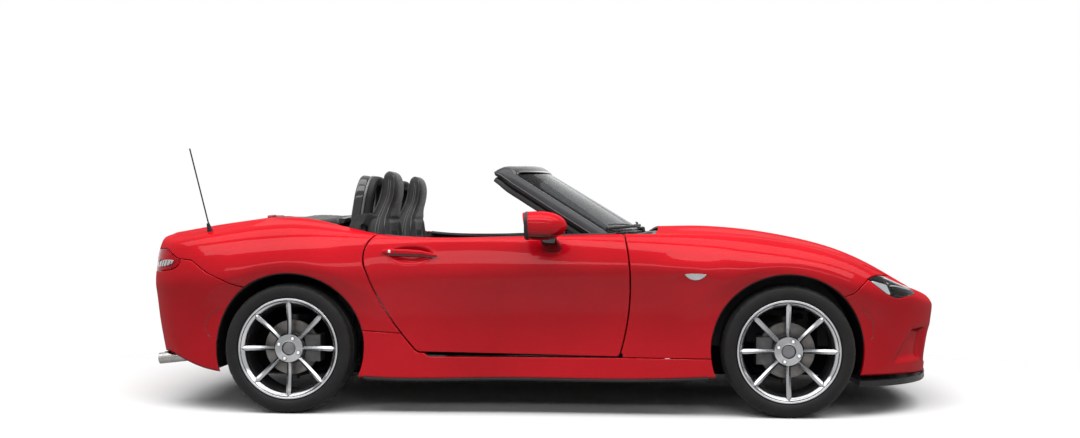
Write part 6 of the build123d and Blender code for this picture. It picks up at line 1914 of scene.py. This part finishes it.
class RoadsterTrim(bpy.types.Operator):
    """Sill lips, black cords painting the arch lips' shade, seams and the finishes of the parts under the skin"""
    bl_idname = "roadster.trim"
    bl_label = "Trim and running gear"

    def execute(self, context):
        edge = body_skin(np.linspace(run_at(6.0), run_at(9.2), 90), [0.0])[:, 0]
        for centre in (FRONT_X, REAR_X):
            edge = edge[np.hypot(edge[:, 0] - centre, edge[:, 2] - WHEEL_Z) > .37]
        lip = swept(edge + (0, -.006, -.001), (0, 1, 0), (0, 0, 1), loop_2d(.016, .0075, 3.4, 18))
        piece("sill_lips", both_sides(*lip), "trim", sharp=50)
        # Painted shade: a thin black cord just inside each wheel opening, behind the rolled lip, where the lip turns in
        # and falls into shade.
        trims = []
        grid = pressed(body_skin(np.linspace(run_at(3.2), run_at(12.2), 420), np.linspace(0, .7, 140))).reshape(-1, 3)
        for x, first, last in ((FRONT_X, -78, 84), (REAR_X, -84, 78)):
            a = np.radians(np.linspace(first, last, 90))
            ring = np.stack([x + (ARCH_RADIUS - .001) * np.sin(a), 0 * a, WHEEL_Z + (ARCH_RADIUS - .001) * np.cos(a)],
                            -1)
            ring[:, 1] = [grid[np.argmin(((grid - p)[:, [0, 2]] ** 2).sum(1)), 1] - .013 for p in ring]
            ring[:, 1] = np.convolve(np.pad(ring[:, 1], 4, mode="edge"), np.ones(9) / 9, mode="valid")
            out = np.stack([np.sin(a), 0 * a, np.cos(a)], -1)
            trims.append(swept(ring, out, (0, 1, 0), loop_2d(.0035, .010, 3, 12)))
        piece("arch_edges", both_sides(*joined(*trims)), "trim", sharp=50)
        self.bumper_details()
        self.seam_backing()
        self.splash_walls()
        self.carry_over()
        return {"FINISHED"}

    def bumper_details(self):
        """Fine seams of the reflector panels beside each arch, drawn as sunk dark cords."""
        cords = []
        grid = pressed(body_skin(np.linspace(run_at(.6), run_at(14.4), 700), np.linspace(0, .7, 170)))
        flat, normal = grid.reshape(-1, 3), outward_normals(grid).reshape(-1, 3)
        lines = [arc_2d(*arc) for arc in (((1.488, .500), (1.540, .468), (1.560, .380), 26),
                                          ((1.548, .355), (1.556, .362), (1.560, .380), 6),
                                          ((-1.470, .488), (-1.532, .450), (-1.543, .368), 26),
                                          ((-1.520, .352), (-1.532, .357), (-1.543, .368), 6))]
        for line in lines:
            index = [np.argmin(((flat[:, [0, 2]] - p) ** 2).sum(1) + 9 * (flat[:, 1] < .3)) for p in line]
            path = flat[index] - normal[index] * .0005
            cords.append(tube(curve_through(path[::2], 40), .0014, 8))
        piece("bumper_seams", both_sides(*joined(*cords)), "gloss_trim", sharp=60)

    def seam_backing(self):
        """Flanges of the fenders and quarters behind the seam over each sill."""
        flanges = []
        for first, last in ((8.6, 10.6), (4.9, 6.6)):
            points, normals, f = skin_between(first, last, low=0.0, high=.45)
            edges = [.020 - np.abs(f["sill"]), f["front_arch"] - .004, f["rear_arch"] - .004, -f["door"] - .010]
            flanges.append(panel(points - normals * .013, normals, edges, wall=.002, square=(0, 1, 2, 3)))
        both_lamps("seam_flanges", flanges, "black_metal")

    def splash_walls(self):
        """Inner walls of the wheel wells below the aprons, and the upright flaps that close the
        wells against the sills and bumpers."""
        walls = []
        for x, inner, behind, ahead in ((FRONT_X, .452, .775, .745), (REAR_X, .498, .795, .795)):
            walls.append(plate((x - .352, -inner, .150), (x + .352, -inner + .003, .305)))
            walls.append(plate((x - .357, -behind, .200), (x - .354, -inner, .305)))
            walls.append(plate((x + .354, -ahead, .200), (x + .357, -inner, .305)))
        walls.append(plate((REAR_X - .352, -.498, .304), (-.958, -.495, .660)))
        piece("splash_walls", both_sides(*joined(*walls)), "liner", sharp=30)

    def carry_over(self):
        """Gives each part that keeps its shape its finish."""
        looks = {"body_tub": "black_metal", "front_subframe": "black_metal", "rear_subframe": "black_metal",
                 "engine_block": "cast", "driveline": "cast", "rear_uprights": "cast",
                 "radiator": "dark_alloy", "exhaust": "exhaust",
                 "wheel_liners": "liner", "grille": "trim", "front_lip": "trim", "steering_column": "plastic",
                 "centre_console": "plastic", "aerial": "trim"}
        for made in bpy.data.objects:
            node = made.get("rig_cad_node")
            if not node:
                continue
            name = node if isinstance(node, str) else made.name
            key = looks.get(name, "cast" if name.startswith("knuckle") else None)
            if key is None:
                continue
            for slot in made.material_slots:
                slot.material = finishes[key]


# ---------------------------------------------------------------- stage
WORLD_LEVEL = .12
FLOOR_LEVEL, FLOOR_WHITE = .08, .94
FLOOR_SIZE, FLOOR_FADE = (9.0, 6.5), (3.6, 2.6)
CAMERA_PLACE, CAMERA_TURN = (.380, -6.332, .9065), math.atan2(.0629, .998)
SENSOR, LENS = 36.0, 39.9
# Soft lamps: name, place, aim, size, watts.
LAMPS = [("overhead", (0.0, -.4, 4.8), (0.0, -.4, 0), (13.0, 2.2), 300),
         ("high_side", (0.0, -3.2, 5.0), (0.0, -.9, .6), (13.0, 2.2), 400),
         ("low_strip", (0.2, -7.2, 3.1), (0.0, 0, .8), (14.0, .8), 120),
         ("far_side", (0.0, 6.5, 3.4), (0.0, 0, .8), (8.0, 2.0), 60)]


class RoadsterStage(bpy.types.Operator):
    """Floor, backdrop light, soft lamps and the camera"""
    bl_idname = "roadster.stage"
    bl_label = "Stage"

    def execute(self, context):
        scene = context.scene
        scene.view_settings.view_transform = "Standard"
        world = bpy.data.worlds.new("studio")
        scene.world = world
        world.use_nodes = True
        background = world.node_tree.nodes["Background"]
        background.inputs["Color"].default_value = (1, 1, 1, 1)
        world.node_tree.links.new(shown_share(world.node_tree, WORLD_LEVEL), background.inputs["Strength"])
        floor = floor_piece("floor", *FLOOR_SIZE)
        floor.data.materials.append(floor_finish())
        for name, place, aim, size, power in LAMPS:
            light = bpy.data.lights.new(name, "AREA")
            light.shape, light.size, light.size_y, light.energy = "RECTANGLE", size[0], size[1], power
            lamp = bpy.data.objects.new(name, light)
            scene.collection.objects.link(lamp)
            lamp.location = place
            way = np.array(aim, float) - place
            lamp.rotation_euler = (math.atan2(math.hypot(way[0], way[1]), -way[2]), 0, math.atan2(-way[0], way[1]))
        camera = bpy.data.cameras.new("camera")
        camera.sensor_width, camera.lens = SENSOR, LENS
        camera.clip_end = 100
        shot = bpy.data.objects.new("camera", camera)
        shot.location = CAMERA_PLACE
        shot.rotation_euler = (math.radians(90), 0, CAMERA_TURN)
        scene.collection.objects.link(shot)
        scene.camera = shot
        return {"FINISHED"}


def shown_share(tree, dim, full=1.0):
    """The full level for camera, glossy and transmission rays, the dim level for the rest."""
    rays = tree.nodes.new("ShaderNodeLightPath").outputs
    most = rays["Is Camera Ray"]
    for ray in ("Is Glossy Ray", "Is Transmission Ray"):
        most = wired(tree, "Math", "Value", most, rays[ray], settings=[("operation", "MAXIMUM")])
    return wired(tree, "MapRange", "Result", Value=most, To_Min=dim, To_Max=full)


def floor_finish():
    """Pale floor that takes the car's shadow and melts into the backdrop: it turns clear between
    two distances from the middle."""
    made = bpy.data.materials.new("pale_floor")
    made.use_nodes = True
    tree = made.node_tree
    tree.nodes.remove(tree.nodes["Principled BSDF"])
    share = shown_share(tree, FLOOR_LEVEL, FLOOR_WHITE)
    grey = wired(tree, "CombineColor", "Color", Red=share, Green=share, Blue=share)
    place = wired(tree, "Mapping", "Vector", Vector=wired(tree, "TexCoord", "Object"),
                  Scale=(1 / FLOOR_FADE[0], 1 / FLOOR_FADE[1], 0))
    far = wired(tree, "VectorMath", "Value", place, settings=[("operation", "LENGTH")])
    fade = wired(tree, "MapRange", "Result", Value=far, From_Min=.80, From_Max=1.0,
                 settings=[("interpolation_type", "SMOOTHSTEP")])
    shader = wired(tree, "MixShader", "Shader", fade, wired(tree, "BsdfDiffuse", "BSDF", Color=grey),
                   wired(tree, "BsdfTransparent", "BSDF"))
    tree.links.new(shader, tree.nodes["Material Output"].inputs["Surface"])
    return made


def floor_piece(name, width, depth):
    """Flat rectangle on the ground, which belongs to the stage."""
    mesh = bpy.data.meshes.new(name)
    x, y = width / 2, depth / 2
    mesh.from_pydata([(-x, -y, 0), (x, -y, 0), (x, y, 0), (-x, y, 0)], [], [(0, 1, 2, 3)])
    made = bpy.data.objects.new(name, mesh)
    bpy.context.scene.collection.objects.link(made)
    return made


# ---------------------------------------------------------------- registering
class RoadsterPanel(bpy.types.Panel):
    """Shows the roadster's colours and sizes, and a button for each of its makers"""
    bl_idname = "VIEW3D_PT_roadster"
    bl_label = "Roadster"
    bl_space_type = "VIEW_3D"
    bl_region_type = "UI"
    bl_category = "Roadster"

    def draw(self, context):
        layout = self.layout
        for settings in (context.scene.roadster_colours, context.scene.roadster_sizes):
            box = layout.box()
            for name in settings.bl_rna.properties.keys():
                if name not in ("rna_type", "name"):
                    box.prop(settings, name)
        for maker in MAKERS:
            layout.operator(maker.bl_idname)


MAKERS = [RoadsterFixedPanels, RoadsterLids, RoadsterDoors, RoadsterWheels, RoadsterScreen, RoadsterMirrors,
          RoadsterSeats, RoadsterHoops, RoadsterTop, RoadsterDash, RoadsterSteering, RoadsterConsole, RoadsterDoorTrim,
          RoadsterLamps, RoadsterTrim, RoadsterStage]
CLASSES = [RoadsterColours, RoadsterSizes, RoadsterPanel, *MAKERS]


def register():
    for c in CLASSES:
        bpy.utils.register_class(c)
    bpy.types.Scene.roadster_colours = bpy.props.PointerProperty(type=RoadsterColours)
    bpy.types.Scene.roadster_sizes = bpy.props.PointerProperty(type=RoadsterSizes)


def unregister():
    del bpy.types.Scene.roadster_sizes
    del bpy.types.Scene.roadster_colours
    for c in reversed(CLASSES):
        bpy.utils.unregister_class(c)


def main():
    register()
    make_finishes(bpy.context.scene.roadster_colours)
    for maker in MAKERS:
        group, name = maker.bl_idname.split(".")
        getattr(getattr(bpy.ops, group), name)()


if __name__ == "__main__":
    main()
